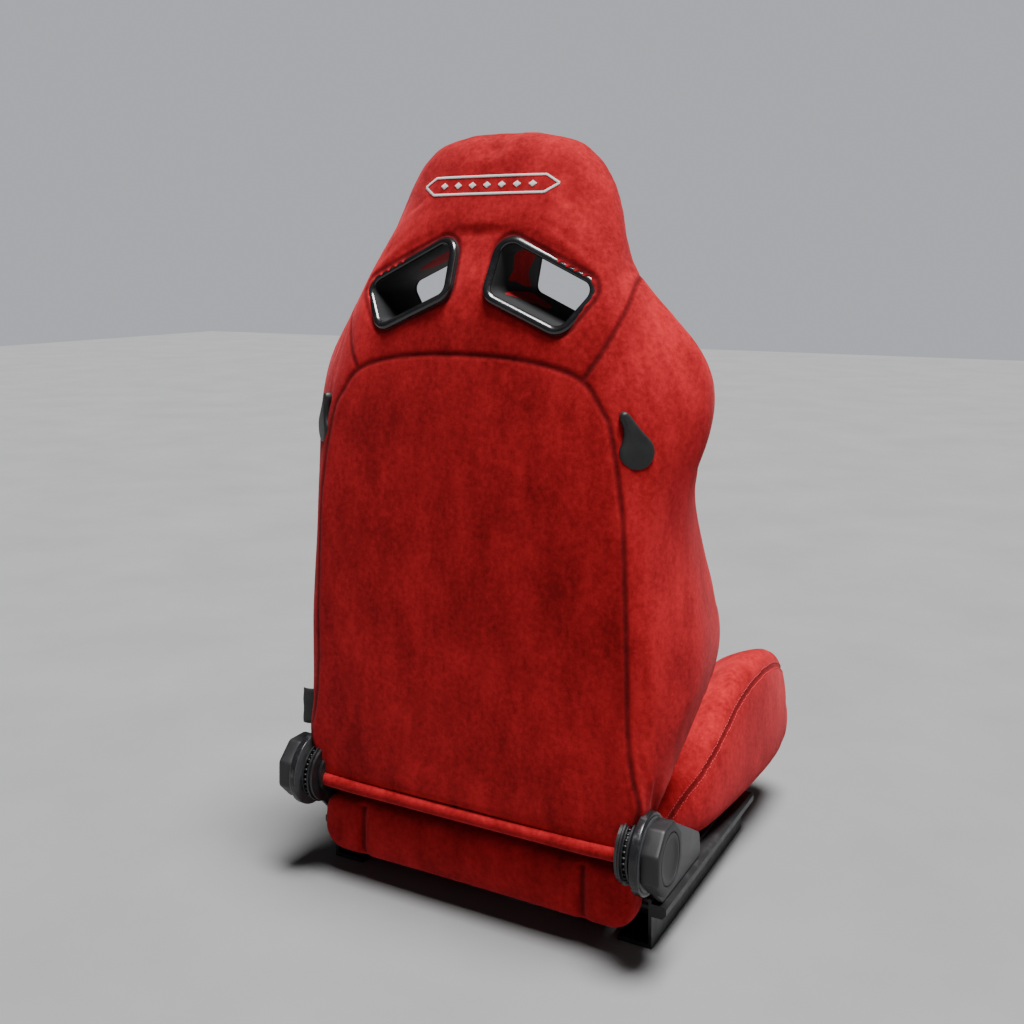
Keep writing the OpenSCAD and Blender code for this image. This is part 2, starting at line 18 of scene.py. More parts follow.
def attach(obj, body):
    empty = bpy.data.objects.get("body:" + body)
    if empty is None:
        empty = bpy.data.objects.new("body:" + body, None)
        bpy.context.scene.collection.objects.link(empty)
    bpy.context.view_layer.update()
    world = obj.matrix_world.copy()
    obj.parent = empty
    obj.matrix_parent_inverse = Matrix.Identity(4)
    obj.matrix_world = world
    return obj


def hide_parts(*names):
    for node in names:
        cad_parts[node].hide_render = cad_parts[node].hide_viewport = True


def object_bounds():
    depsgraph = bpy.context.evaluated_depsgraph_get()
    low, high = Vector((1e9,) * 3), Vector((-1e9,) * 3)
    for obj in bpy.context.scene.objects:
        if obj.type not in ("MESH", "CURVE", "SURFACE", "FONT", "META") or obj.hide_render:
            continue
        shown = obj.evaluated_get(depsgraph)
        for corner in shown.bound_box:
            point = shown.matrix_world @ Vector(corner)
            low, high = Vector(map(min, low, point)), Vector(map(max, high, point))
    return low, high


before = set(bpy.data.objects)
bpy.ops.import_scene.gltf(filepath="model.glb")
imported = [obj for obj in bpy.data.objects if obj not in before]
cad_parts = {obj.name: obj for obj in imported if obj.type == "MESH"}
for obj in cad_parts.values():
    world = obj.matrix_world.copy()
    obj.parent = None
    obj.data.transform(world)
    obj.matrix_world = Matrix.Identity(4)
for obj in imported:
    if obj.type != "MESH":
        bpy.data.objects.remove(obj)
cad_low, cad_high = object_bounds()
print("CAD box", [round(v, 3) for v in cad_low], [round(v, 3) for v in cad_high])

# %% [markdown]
# ## The camera
#
# A camera is a place, a direction and a lens. This one stands behind the seat and to the
# sitter's right, a little above the head, and looks level. Keeping it level keeps upright
# edges upright; the lens is shifted down to bring the seat into the middle.

# %% Camera and light
scene = bpy.context.scene
VIEW_TURN = math.radians(28.7)
CAMERA_PLACE = Vector((-0.743, 1.445, 0.800))
cam_data = bpy.data.cameras.new("camera")
cam_data.sensor_width = 36.0
cam_data.lens = 41.3
cam_data.shift_y = -0.243
camera = bpy.data.objects.new("camera", cam_data)
scene.collection.objects.link(camera)
camera.location = CAMERA_PLACE
looking = Vector((math.sin(VIEW_TURN), -math.cos(VIEW_TURN), 0.0))
camera.rotation_mode = "QUATERNION"
camera.rotation_quaternion = looking.to_track_quat("-Z", "Y")
scene.camera = camera


def soft_lamp(name, place, target, size, watts):
    data = bpy.data.lights.new(name, "AREA")
    data.size, data.energy = size, watts
    lamp = bpy.data.objects.new(name, data)
    scene.collection.objects.link(lamp)
    lamp.location = place
    aim = Vector(target) - Vector(place)
    lamp.rotation_mode = "QUATERNION"
    lamp.rotation_quaternion = aim.to_track_quat("-Z", "Y")
    return lamp


middle = (cad_low + cad_high) / 2
sky = bpy.data.lights.new("overhead_light", "SUN")
sky.energy, sky.angle = 8.6, math.radians(26)
overhead = bpy.data.objects.new("overhead_light", sky)
scene.collection.objects.link(overhead)
overhead.rotation_mode = "QUATERNION"
overhead.rotation_quaternion = Vector((0.19, -0.05, -1.0)).to_track_quat("-Z", "Y")
soft_lamp("fill_light", (1.6, 2.8, 1.8), middle, 2.6, 2)
soft_lamp("side_light", (-2.6, 0.3, 2.6), middle, 1.2, 5)
world = bpy.data.worlds.new("studio")
scene.world = world
world.use_nodes = True
world.node_tree.nodes["Background"].inputs["Color"].default_value = (0.9, 0.93, 1.0, 1)
seen = world.node_tree.nodes.new("ShaderNodeLightPath")
strength = world.node_tree.nodes.new("ShaderNodeMath")
strength.operation = "MULTIPLY_ADD"
strength.inputs[1].default_value, strength.inputs[2].default_value = 0.47, 0.05
world.node_tree.links.new(seen.outputs["Is Camera Ray"], strength.inputs[0])
world.node_tree.links.new(strength.outputs[0], world.node_tree.nodes["Background"].inputs["Strength"])
print("camera at", tuple(round(v, 3) for v in camera.location))

# %% [markdown]
# ## Materials
#
# Suede is a nap: short fibres that lie in patches, so the same cloth is darker where it was
# stroked one way and lighter where it was stroked the other. Three sizes of noise give that:
# broad patches, finger marks, and the fibre itself, which is also the bump. Sheen puts the
# pale rim of loose fibres on it. Patterns read Object coordinates, so they stay with a piece.


# %% Node helpers
def new_material(name):
    made = bpy.data.materials.new(name)
    made.use_nodes = True
    made.node_tree.nodes.clear()
    out = made.node_tree.nodes.new("ShaderNodeOutputMaterial")
    shader = made.node_tree.nodes.new("ShaderNodeBsdfPrincipled")
    made.node_tree.links.new(shader.outputs["BSDF"], out.inputs["Surface"])
    return made, made.node_tree, shader


def place_node(tree, stretch=(1, 1, 1)):
    coords = tree.nodes.new("ShaderNodeTexCoord")
    mapping = tree.nodes.new("ShaderNodeMapping")
    mapping.inputs["Scale"].default_value = stretch
    tree.links.new(coords.outputs["Object"], mapping.inputs["Vector"])
    return mapping.outputs["Vector"]


def noise(tree, place, scale, detail=3.0, rough=0.55):
    node = tree.nodes.new("ShaderNodeTexNoise")
    node.inputs["Scale"].default_value = scale
    node.inputs["Detail"].default_value = detail
    node.inputs["Roughness"].default_value = rough
    tree.links.new(place, node.inputs["Vector"])
    return node.outputs["Fac"]


def ramp(tree, value, stops):
    node = tree.nodes.new("ShaderNodeValToRGB")
    while len(node.color_ramp.elements) < len(stops):
        node.color_ramp.elements.new(0.5)
    for element, (at, colour) in zip(node.color_ramp.elements, stops):
        element.position = at
        element.color = (*colour, 1)
    tree.links.new(value, node.inputs["Fac"])
    return node.outputs["Color"]


def grey(v):
    return (v, v, v)


def mixed(tree, a, b, amount, how="MIX"):
    node = tree.nodes.new("ShaderNodeMix")
    node.data_type, node.blend_type = "RGBA", how
    for socket, value in ((node.inputs[6], a), (node.inputs[7], b), (node.inputs[0], amount)):
        if isinstance(value, bpy.types.NodeSocket):
            tree.links.new(value, socket)
        elif isinstance(value, tuple):
            socket.default_value = (*value, 1)
        else:
            socket.default_value = value
    return node.outputs[2]


def total(tree, parts):
    """Sum of (value, weight) pairs."""
    last = None
    for value, weight in parts:
        node = tree.nodes.new("ShaderNodeMath")
        node.operation = "MULTIPLY_ADD"
        tree.links.new(value, node.inputs[0])
        node.inputs[1].default_value = weight
        if last is None:
            node.inputs[2].default_value = 0.0
        else:
            tree.links.new(last, node.inputs[2])
        last = node.outputs[0]
    return last


def bumped(tree, shader, height, distance, strength=1.0):
    node = tree.nodes.new("ShaderNodeBump")
    node.inputs["Distance"].default_value = distance
    node.inputs["Strength"].default_value = strength
    tree.links.new(height, node.inputs["Height"])
    tree.links.new(node.outputs["Normal"], shader.inputs["Normal"])


# %% Suede
def suede(name, light, deep, seams=True):
    made, tree, shader = new_material(name)
    place = place_node(tree)
    streaked = place_node(tree, (1.0, 1.0, 0.35))
    patches = noise(tree, place, 9.0, 4.0, 0.6)
    strokes = noise(tree, streaked, 38.0, 3.0, 0.6)
    mottle = noise(tree, place, 160.0, 3.0, 0.65)
    fibre = noise(tree, place, 1500.0, 2.0, 0.7)
    nap = total(tree, [(patches, 0.34), (strokes, 0.32), (mottle, 0.34)])
    colour = ramp(tree, nap, [(0.38, deep), (0.5, tuple((a + b) / 2 for a, b in zip(light, deep))),
                              (0.61, light)])
    fine = ramp(tree, fibre, [(0.3, grey(0.72)), (0.7, grey(1.0))])
    colour = mixed(tree, colour, fine, 0.8, "MULTIPLY")
    height = [(fibre, 0.55), (mottle, 0.45)]
    # Painted shade: the seam attribute darkens the cloth in the seam creases, in the sewn channels and round the
    # slot rims.
    if seams:
        line = tree.nodes.new("ShaderNodeAttribute")
        line.attribute_name = "seam"
        dark = ramp(tree, line.outputs["Fac"], [(0.0, grey(0.12)), (0.10, grey(0.35)), (0.26, grey(1.0))])
        colour = mixed(tree, colour, dark, 0.85, "MULTIPLY")
    tree.links.new(colour, shader.inputs["Base Color"])
    shader.inputs["Roughness"].default_value = 0.92
    shader.inputs["Specular IOR Level"].default_value = 0.12
    shader.inputs["Sheen Weight"].default_value = 0.24
    shader.inputs["Sheen Roughness"].default_value = 0.42
    shader.inputs["Sheen Tint"].default_value = (1.0, 0.22, 0.24, 1)
    bumped(tree, shader, total(tree, height), 0.0006, 0.7)
    return made


RED_LIGHT, RED_DEEP = (0.56, 0.018, 0.025), (0.25, 0.005, 0.008)
suede_red = suede("red_suede", RED_LIGHT, RED_DEEP)
suede_plain = suede("red_suede_without_crease_shade", RED_LIGHT, RED_DEEP, seams=False)


# %% Plastics, steel and thread
def moulded(name, base, rough, grain, depth, coat=0.0):
    made, tree, shader = new_material(name)
    place = place_node(tree)
    pebble = noise(tree, place, grain, 2.0, 0.6)
    scuffs = noise(tree, place, 24.0, 5.0, 0.7)
    colour = mixed(tree, base, tuple(min(1, v * 1.7 + 0.006) for v in base),
                   ramp(tree, scuffs, [(0.45, grey(0)), (0.75, grey(1))]))
    tree.links.new(colour, shader.inputs["Base Color"])
    polish = ramp(tree, scuffs, [(0.3, grey(rough - 0.06)), (0.7, grey(min(1, rough + 0.08)))])
    tree.links.new(polish, shader.inputs["Roughness"])
    shader.inputs["Coat Weight"].default_value = coat
    shader.inputs["Coat Roughness"].default_value = 0.12
    bumped(tree, shader, pebble, depth, 0.6)
    return made


def metal(name, base, rough, worn, metallic=1.0):
    made, tree, shader = new_material(name)
    place = place_node(tree)
    drawn = noise(tree, place_node(tree, (1, 1, 12)), 260.0, 2.0, 0.5)
    wear = noise(tree, place, 60.0, 5.0, 0.7)
    colour = mixed(tree, base, worn, ramp(tree, wear, [(0.55, grey(0)), (0.78, grey(0.8))]))
    tree.links.new(colour, shader.inputs["Base Color"])
    shader.inputs["Metallic"].default_value = metallic
    polish = ramp(tree, wear, [(0.3, grey(max(0.05, rough - 0.1))), (0.7, grey(min(1, rough + 0.15)))])
    tree.links.new(polish, shader.inputs["Roughness"])
    bumped(tree, shader, total(tree, [(drawn, 0.5), (wear, 0.5)]), 0.0002, 0.4)
    return made


black_grained = moulded("black_grained_plastic", (0.009, 0.009, 0.010), 0.5, 1400.0, 0.00018)
cover_satin = moulded("satin_cover_plastic", (0.042, 0.043, 0.046), 0.44, 1100.0, 0.00016)
dial_inlay = moulded("dial_inlay_plastic", (0.013, 0.013, 0.014), 0.5, 1500.0, 0.00012)
tunnel_matte = moulded("slot_tunnel_plastic", (0.005, 0.005, 0.006), 0.85, 900.0, 0.0002)
slot_gloss = moulded("slot_rim_plastic", (0.007, 0.007, 0.008), 0.24, 700.0, 0.00008, coat=0.5)
coated_steel = metal("black_coated_steel", (0.020, 0.020, 0.021), 0.42, (0.055, 0.055, 0.058), 0.0)
recliner_steel = metal("dark_phosphate_steel", (0.045, 0.045, 0.048), 0.38, (0.16, 0.15, 0.14), 0.7)
bright_steel = metal("drawn_steel", (0.56, 0.56, 0.58), 0.26, (0.35, 0.33, 0.31))


def thread(name, base):
    made, tree, shader = new_material(name)
    twist = noise(tree, place_node(tree), 2600.0, 1.0, 0.5)
    tree.links.new(mixed(tree, tuple(v * 0.7 for v in base), base, twist), shader.inputs["Base Color"])
    shader.inputs["Roughness"].default_value = 0.62
    bumped(tree, shader, twist, 0.0002, 0.8)
    return made


red_thread = thread("red_thread", (0.62, 0.05, 0.055))
white_thread = thread("white_thread", (0.86, 0.86, 0.84))
tag_cloth = thread("black_tag_cloth", (0.02, 0.02, 0.021))
print("materials:", len(bpy.data.materials))

# %% [markdown]
# ## How a padded shape is drawn
#
# A seat back is easiest to describe as slices. Each table row gives one height and the key
# distances of the outline there, and smooth curves run between the rows and between the
# key points. The bottom slices are tilted, because the back is cut away above the recliners.


# %% Smooth curves through tables and points
def smooth_table(rows):
    rows = np.array(rows, float)
    at, values = rows[:, 0], rows[:, 1:]
    slope = np.gradient(values, at, axis=0)

    def value(t):
        t = float(np.clip(t, at[0], at[-1]))
        i = int(np.clip(np.searchsorted(at, t) - 1, 0, len(at) - 2))
        h = at[i + 1] - at[i]
        u = (t - at[i]) / h
        a, b, c, d = values[i], values[i + 1], slope[i] * h, slope[i + 1] * h
        return (a * (1 + 2 * u) * (1 - u) ** 2 + c * u * (1 - u) ** 2
                + b * u * u * (3 - 2 * u) + d * u * u * (u - 1))
    return value


def through(points, per_span, closed=True):
    """A centripetal curve through points, with per_span samples for each span."""
    p = np.array(points, float)
    n = len(p)
    spans = n if closed else n - 1
    made = []
    for i in range(spans):
        if closed:
            a, b, c, d = p[(i - 1) % n], p[i], p[(i + 1) % n], p[(i + 2) % n]
        else:
            a, b, c, d = p[max(i - 1, 0)], p[i], p[i + 1], p[min(i + 2, n - 1)]
        t0 = 0.0
        t1 = t0 + max(np.linalg.norm(b - a), 1e-6) ** 0.5
        t2 = t1 + max(np.linalg.norm(c - b), 1e-6) ** 0.5
        t3 = t2 + max(np.linalg.norm(d - c), 1e-6) ** 0.5
        for k in range(per_span):
            t = t1 + (t2 - t1) * k / per_span
            ab = a + (b - a) * (t - t0) / (t1 - t0)
            bc = b + (c - b) * (t - t1) / (t2 - t1)
            cd = c + (d - c) * (t - t2) / (t3 - t2)
            abc = ab + (bc - ab) * (t - t0) / (t2 - t0)
            bcd = bc + (cd - bc) * (t - t1) / (t3 - t1)
            made.append(abc + (bcd - abc) * (t - t1) / (t2 - t1))
    if not closed:
        made.append(p[-1])
    return np.array(made)


def skin_rings(name, rings):
    """One closed mesh over rings of equal count, in metres, with fans over both ends."""
    rings = [np.array(r) for r in rings]
    count = len(rings[0])
    verts = np.vstack(rings + [rings[0].mean(0), rings[-1].mean(0)])
    faces = []
    for k in range(len(rings) - 1):
        for i in range(count):
            j = (i + 1) % count
            faces.append((k * count + i, k * count + j, (k + 1) * count + j, (k + 1) * count + i))
    low, high, last = len(verts) - 2, len(verts) - 1, (len(rings) - 1) * count
    faces += [(low, (i + 1) % count, i) for i in range(count)]
    faces += [(high, last + i, last + (i + 1) % count) for i in range(count)]
    mesh = bpy.data.meshes.new(name)
    mesh.from_pydata(verts.tolist(), [], faces)
    return finished(name, mesh)


def finished(name, mesh, smooth=True):
    made = bmesh.new()
    made.from_mesh(mesh)
    bmesh.ops.remove_doubles(made, verts=made.verts, dist=1e-6)
    bmesh.ops.recalc_face_normals(made, faces=made.faces)
    made.to_mesh(mesh)
    made.free()
    mesh.shade_smooth() if smooth else mesh.shade_flat()
    piece = bpy.data.objects.new(name, mesh)
    scene.collection.objects.link(piece)
    return piece


def evaluated(piece, name=None):
    """The piece with its modifiers applied, as a plain mesh on a fresh object."""
    graph = bpy.context.evaluated_depsgraph_get()
    mesh = bpy.data.meshes.new_from_object(piece.evaluated_get(graph), depsgraph=graph)
    name = name or piece.name
    bpy.data.objects.remove(piece)
    mesh.name = name
    plain = bpy.data.objects.new(name, mesh)
    scene.collection.objects.link(plain)
    mesh.shade_smooth()
    return plain


def coords(piece):
    flat = np.empty(len(piece.data.vertices) * 3, np.float32)
    piece.data.vertices.foreach_get("co", flat)
    return flat.reshape(-1, 3).astype(float)


def set_coords(piece, points):
    piece.data.vertices.foreach_set("co", points.astype(np.float32).ravel())
    piece.data.update()


def paint(piece, *materials):
    piece.data.materials.clear()
    for material in materials:
        piece.data.materials.append(material)


# %% [markdown]
# ## From a drawn shape to sewn padding
#
# A cover is flat cloth held down along its seams, and foam pushes it out everywhere else.
# So the drawn shape is remeshed evenly, its seam lines are pinned, and a short cloth
# simulation with pressure inside lets each panel swell between its seams. The swelling is
# capped, because foam is firm. Then the seams are pressed in, and the distance to them is
# stored for the material, which paints shade into the seam creases and channels.


# %% Seam lines and their distance
def even_line(points, step=0.003):
    p = np.array(points, float)
    length = np.concatenate([[0], np.cumsum(np.linalg.norm(np.diff(p, axis=0), axis=1))])
    count = max(2, int(length[-1] / step) + 1)
    wanted = np.linspace(0, length[-1], count)
    return np.stack([np.interp(wanted, length, p[:, k]) for k in range(3)], 1)


def surface_of(piece):
    graph = bpy.context.evaluated_depsgraph_get()
    return BVHTree.FromObject(piece, graph)


def draped(tree, points, step=0.003):
    """The points as an even line that lies on the surface."""
    line = even_line(points, step)
    return np.array([tree.find_nearest(Vector(p))[0] for p in line])


def nearest_on(lines, points, reach=0.03):
    """For each point: distance to the nearest line sample, up to reach."""
    from mathutils.kdtree import KDTree
    samples = np.vstack(lines)
    tree = KDTree(len(samples))
    for i, p in enumerate(samples):
        tree.insert(p, i)
    tree.balance()
    return np.array([min(tree.find(p)[2], reach) for p in points])


def remeshed(piece, voxel, rounds=2):
    modifier = piece.modifiers.new("even", "REMESH")
    modifier.mode, modifier.voxel_size = "VOXEL", voxel
    plain = evaluated(piece)
    relax = plain.modifiers.new("relax", "SMOOTH")
    relax.factor, relax.iterations = 0.5, rounds
    return evaluated(plain)


def swollen(piece, seams, cap, pressure=4.0, pin_reach=0.006, keep=None):
    """Cloth simulation with pressure; seams stay where they are, nothing moves past cap."""
    start = coords(piece)
    gap = nearest_on(seams, start)
    pinned = gap < pin_reach
    if keep is not None:
        pinned |= keep(start)
    group = piece.vertex_groups.new(name="pinned")
    group.add([int(i) for i in np.flatnonzero(pinned)], 1.0, "REPLACE")
    cloth = piece.modifiers.new("foam", "CLOTH")
    settings = cloth.settings
    settings.quality, settings.mass = 5, 0.3
    settings.tension_stiffness = settings.compression_stiffness = 12
    settings.shear_stiffness, settings.bending_stiffness = 6, 0.4
    settings.use_pressure, settings.uniform_pressure_force = True, pressure
    settings.vertex_group_mass = "pinned"
    settings.effector_weights.gravity = 0
    cloth.collision_settings.use_collision = False
    cloth.collision_settings.use_self_collision = False
    for number in range(1, 21):
        scene.frame_set(number)
    graph = bpy.context.evaluated_depsgraph_get()
    mesh = piece.evaluated_get(graph).to_mesh()
    moved = np.array([v.co[:] for v in mesh.vertices]) - start
    piece.evaluated_get(graph).to_mesh_clear()
    size = np.linalg.norm(moved, axis=1)
    allowed = cap * np.clip((gap - pin_reach) / 0.03, 0.0, 1.0) ** 0.5
    moved *= (np.minimum(size, allowed) / np.maximum(size, 1e-9))[:, None]
    piece.modifiers.clear()
    piece.vertex_groups.clear()
    scene.frame_set(1)
    set_coords(piece, start + moved)
    print(piece.name, "swells by up to", round(float(np.linalg.norm(moved, axis=1).max()) * 1000, 1), "mm")
    return piece


def subdivided(piece):
    modifier = piece.modifiers.new("fine", "SUBSURF")
    modifier.levels = modifier.render_levels = 1
    return evaluated(piece)


def pressed_in(piece, seams, depth, width, soft=()):
    """Presses seams in as a narrow line and soft channels as a broad one; stores the distance to them as the seam
    attribute, the mask for painted shade in these creases.
    """
    points = coords(piece)
    normals = np.array([v.normal[:] for v in piece.data.vertices])
    gap = nearest_on(seams, points)
    points -= normals * (depth * np.exp(-(gap / width) ** 2))[:, None]
    if soft:
        broad = nearest_on(soft, points)
        points -= normals * (2.2 * depth * np.exp(-(broad / (2.6 * width)) ** 2))[:, None]
        gap = np.minimum(gap, broad)
    set_coords(piece, points)
    # Painted shade: the seam attribute is near 0 at a seam or channel, and the suede material darkens the cloth
    # there.
    crease_shade_mask = piece.data.attributes.new("seam", "FLOAT", "POINT")
    crease_shade_mask.data.foreach_set("value", np.clip(gap / 0.02, 0, 1).astype(np.float32))
    return piece


# %% [markdown]
# ## The backrest
#
# The table lists the back from the hem up to the top of the head, in millimetres: middle of
# the rear face, rear corner and its depth, widest point and its depth, front of the bolster,
# inner seam and its depth, and the front of the middle pad. The bolsters swell at the
# lumbar, pull in at the waist, and swell again at the shoulders before the head narrows.

# %% Backrest outline
MM = 0.001
BACK = smooth_table([
    (110, 217, 205, 215, 214, 196, 150, 128, 150, 146),
    (130, 218, 213, 216, 222, 192, 140, 128, 140, 136),
    (160, 219, 228, 217, 237, 188, 126, 128, 128, 124),
    (184, 219, 233, 217, 243, 184, 112, 128, 122, 118),
    (214, 220, 226, 217, 247, 170, 84, 128, 115, 110),
    (250, 220, 221, 218, 255, 150, 48, 128, 109, 104),
    (295, 220, 219, 218, 266, 131, 11, 128, 106, 99),
    (330, 220, 219, 219, 268, 124, 0, 128, 106, 98),
    (386, 220, 218, 219, 263, 123, 8, 128, 110, 102),
    (452, 220, 216, 219, 254, 128, 25, 128, 116, 110),
    (505, 220, 214, 218, 253, 133, 44, 128, 120, 116),
    (550, 219, 208, 217, 261, 128, 57, 128, 122, 119),
    (590, 218, 201, 215, 273, 118, 58, 128, 122, 119),
    (631, 216, 190, 212, 278, 110, 48, 128, 117, 114),
    (665, 214, 180, 208, 275, 105, 55, 128, 111, 108),
    (700, 212, 171, 203, 261, 106, 71, 126, 105, 102),
    (735, 208, 173, 193, 233, 107, 80, 118, 97, 94),
    (765, 202, 173, 180, 205, 109, 82, 108, 88, 85),
    (792, 190, 168, 168, 183, 110, 78, 100, 78, 76),
    (829, 175, 154, 156, 168, 106, 68, 96, 66, 64),
    (874, 160, 133, 143, 156, 98, 60, 90, 57, 55),
    (910, 150, 120, 134, 142, 94, 60, 82, 56, 54),
    (940, 141, 100, 128, 121, 94, 66, 68, 61, 60),
    (960, 130, 70, 121, 92, 97, 78, 48, 73, 73),
    (970, 116, 36, 112, 50, 102, 92, 26, 90, 90)])
HEM_Z, HEAD_TOP = 121.0, 970.0


def back_key(z, i):
    """Key point i of the half outline at height z: (distance from the middle, depth)."""
    yc, w, yr, xo, ym, yf, xi, yi, yp = BACK(z)
    body = float(np.clip((765 - z) / 100, 0, 1))
    inner = np.array([xi, yi])
    front = np.array([xo - 30, yf])
    return [
        (0.0, yc), (0.5 * w, yc - 0.12 * (yc - yr)), (0.93 * w, yr + 0.25 * (yc - yr)), (w, yr - 1),
        (w + 0.5 * (xo - w), yr - 0.33 * (yr - ym)), (xo, ym), (xo - 1.5, 0.5 * (ym + yf)),
        (xo - 12, yf + 8), tuple(front),
        tuple(body * (front + [-22, 12]) + (1 - body) * (front + (inner - front) / 3)),
        tuple(body * (inner + [20, -24]) + (1 - body) * (front + (inner - front) * 2 / 3)),
        (xi, yi), (0.5 * xi, yp), (0.0, yp)][i]


CORNER, INNER = 3, 11
KEYS = 14


def back_point(rear_z, tilt, i, side):
    """Key point i where a slice, tilted up towards the front, cuts the outline."""
    z = rear_z
    for _ in range(8):
        x, y = back_key(z, i)
        z = 0.5 * z + 0.5 * min(HEAD_TOP, rear_z + tilt * (218 - y))
    x, y = back_key(z, i)
    return np.array([side * x, y, z]) * MM


TILTS = ([110, 121, 150, 200, 260, 320, 400, 480, 560, 1000],
         [0.80, 0.80, 0.78, 0.72, 0.60, 0.46, 0.28, 0.12, 0.0, 0.0])


def back_slice(rear_z, per_span=9):
    tilt = float(np.interp(rear_z, *TILTS))
    right = [back_point(rear_z, tilt, i, -1) for i in range(KEYS)]
    left = [back_point(rear_z, tilt, i, 1) for i in range(KEYS - 2, 0, -1)]
    return through(right + left, per_span)


HEAD_ROUND = 900.0
closing = np.sin(np.linspace(0.05, 1, 14) * math.pi / 2)
slice_heights = np.concatenate([np.linspace(HEM_Z, HEAD_ROUND, 84), HEAD_ROUND + (HEAD_TOP - HEAD_ROUND) * closing])
back_cover = skin_rings("back_cover", [back_slice(z) for z in slice_heights])
print("back cover drawn with", len(back_cover.data.vertices), "points")

# %% [markdown]
# The harness slots go right through the shoulders. Each is a four-cornered opening with
# round corners, so one outline in the X-Z plane gives the hole, the tunnel and both rims.


# %% Harness slot outline
SLOT = np.array([(34, 765), (127, 724), (160, 771), (39, 829)]) * MM


def rounded_outline(corners, radius, steps=8):
    """Corners of a convex outline, in order, replaced by arcs."""
    corners = np.array(corners, float)
    made = []
    n = len(corners)
    for i in range(n):
        p = corners[i]
        u = corners[i - 1] - p
        w = corners[(i + 1) % n] - p
        u, w = u / np.linalg.norm(u), w / np.linalg.norm(w)
        half = math.acos(float(np.clip(u @ w, -1, 1))) / 2
        centre = p + (u + w) / np.linalg.norm(u + w) * radius / math.sin(half)
        a, b = p + u * radius / math.tan(half) - centre, p + w * radius / math.tan(half) - centre
        sweep = math.acos(float(np.clip(a @ b / radius ** 2, -1, 1)))
        way = 1 if a[0] * b[1] - a[1] * b[0] > 0 else -1
        for k in range(steps + 1):
            t = way * sweep * k / steps
            made.append(centre + [a[0] * math.cos(t) - a[1] * math.sin(t),
                                  a[0] * math.sin(t) + a[1] * math.cos(t)])
    return np.array(made)


def grown(outline, amount):
    """The outline with its edges pushed out by amount."""
    outline = np.array(outline, float)
    area = 0.5 * sum(outline[i - 1][0] * outline[i][1] - outline[i][0] * outline[i - 1][1]
                     for i in range(len(outline)))
    sign = 1 if area > 0 else -1
    made = []
    n = len(outline)
    for i in range(n):
        u = outline[i] - outline[i - 1]
        w = outline[(i + 1) % n] - outline[i]
        u, w = u / np.linalg.norm(u), w / np.linalg.norm(w)
        nu, nw = sign * np.array([u[1], -u[0]]), sign * np.array([w[1], -w[0]])
        made.append(outline[i] + (nu + nw) * amount / (1 + nu @ nw))
    return np.array(made)


def prism(name, outline, y_from, y_to):
    """A closed prism through the seat from an outline in the X-Z plane."""
    rings = [np.array([(x, y, z) for x, z in outline]) for y in (y_from, y_to)]
    return skin_rings(name, rings)


# %% Cut the slots and even the mesh
for side in (-1, 1):
    outline = rounded_outline(grown(SLOT, 0.004) * (side, 1), 0.016)
    cutter = prism("cutter", outline, -0.1, 0.4)
    cut = back_cover.modifiers.new("slot", "BOOLEAN")
    cut.operation, cut.object, cut.solver = "DIFFERENCE", cutter, "EXACT"
    back_cover = evaluated(back_cover)
    bpy.data.objects.remove(cutter)
BACK_VOXEL = 0.0056
back_cover = remeshed(back_cover, BACK_VOXEL, 4)
print("back cover evened to", len(back_cover.data.vertices), "points")

# %% [markdown]
# The seams follow the real patterns: an arch over the rear panel that runs down each rear
# corner to the hem, a diagonal over each shoulder, the inner edge of each bolster, and
# sewn channels across the middle pad.


# %% Backrest seams
back_surface = surface_of(back_cover)


def from_behind(x, z, depth=0.5):
    hit = back_surface.ray_cast(Vector((x, depth, z)), Vector((0, -1, 0)))[0]
    return np.array(hit) if hit else np.array((x, 0.2, z))


def corner_point(z, side, i=CORNER):
    return back_point(z, float(np.interp(z, *TILTS)), i, side)


ARCH_TOP = 0.688
arch_heights = [122, 150, 182, 214, 260, 306, 360, 419, 470, 509, 545, 576, 598, 617]
sides_up = {s: [corner_point(z, s) for z in arch_heights] for s in (-1, 1)}
arch_half = [(0.182, 0.636), (0.172, 0.652), (0.158, 0.6645), (0.140, 0.6725), (0.115, 0.6790),
             (0.085, 0.6838), (0.050, 0.6868), (0.018, ARCH_TOP)]
over = [from_behind(-x, z) for x, z in arch_half] + [from_behind(x, z) for x, z in arch_half[::-1]]
arch_seam = through(sides_up[-1] + over + sides_up[1][::-1], 6, closed=False)
shoulder_seams, inner_seams = [], []
for s in (-1, 1):
    shoulder_seams.append(through([(s * 0.160, 0.211, 0.663), (s * 0.178, 0.196, 0.695),
                                   (s * 0.192, 0.170, 0.735), (s * 0.196, 0.130, 0.775),
                                   (s * 0.186, 0.090, 0.788), (s * 0.150, 0.082, 0.770),
                                   (s * 0.128, 0.096, 0.725), (s * 0.126, 0.105, 0.69)], 6, closed=False))
    inner_seams.append(through([corner_point(z, s, INNER) for z in range(125, 700, 30)], 4, closed=False))
channel_heights = [0.235, 0.300, 0.365, 0.430, 0.495, 0.560, 0.625]
channels = [np.array([(x, 0.10, z + 0.012 * (x / 0.128) ** 2) for x in np.linspace(-0.124, 0.124, 21)])
            for z in channel_heights]
waist_seams = [through([(s * x, y * MM, z * MM) for x, y, z in
                        ((0.131, 116, 560), (0.17, 75, 566), (0.222, 60, 560))], 5, closed=False) for s in (-1, 1)]
back_seams = [draped(back_surface, line) for line in [arch_seam] + shoulder_seams + inner_seams]
back_channels = [draped(back_surface, line) for line in channels]
# Lines round each slot rim are pressed in and darkened like the seams: painted contact shade where the cover meets
# the rim.
slot_edges = [[from_behind(s * x, z) for x, z in rounded_outline(grown(SLOT, 0.0125), 0.022)] for s in (-1, 1)]
back_hidden = [draped(back_surface, line) for line in waist_seams + [line + line[:1] for line in slot_edges]]
print("backrest seams:", len(back_seams), "channels:", len(back_channels))

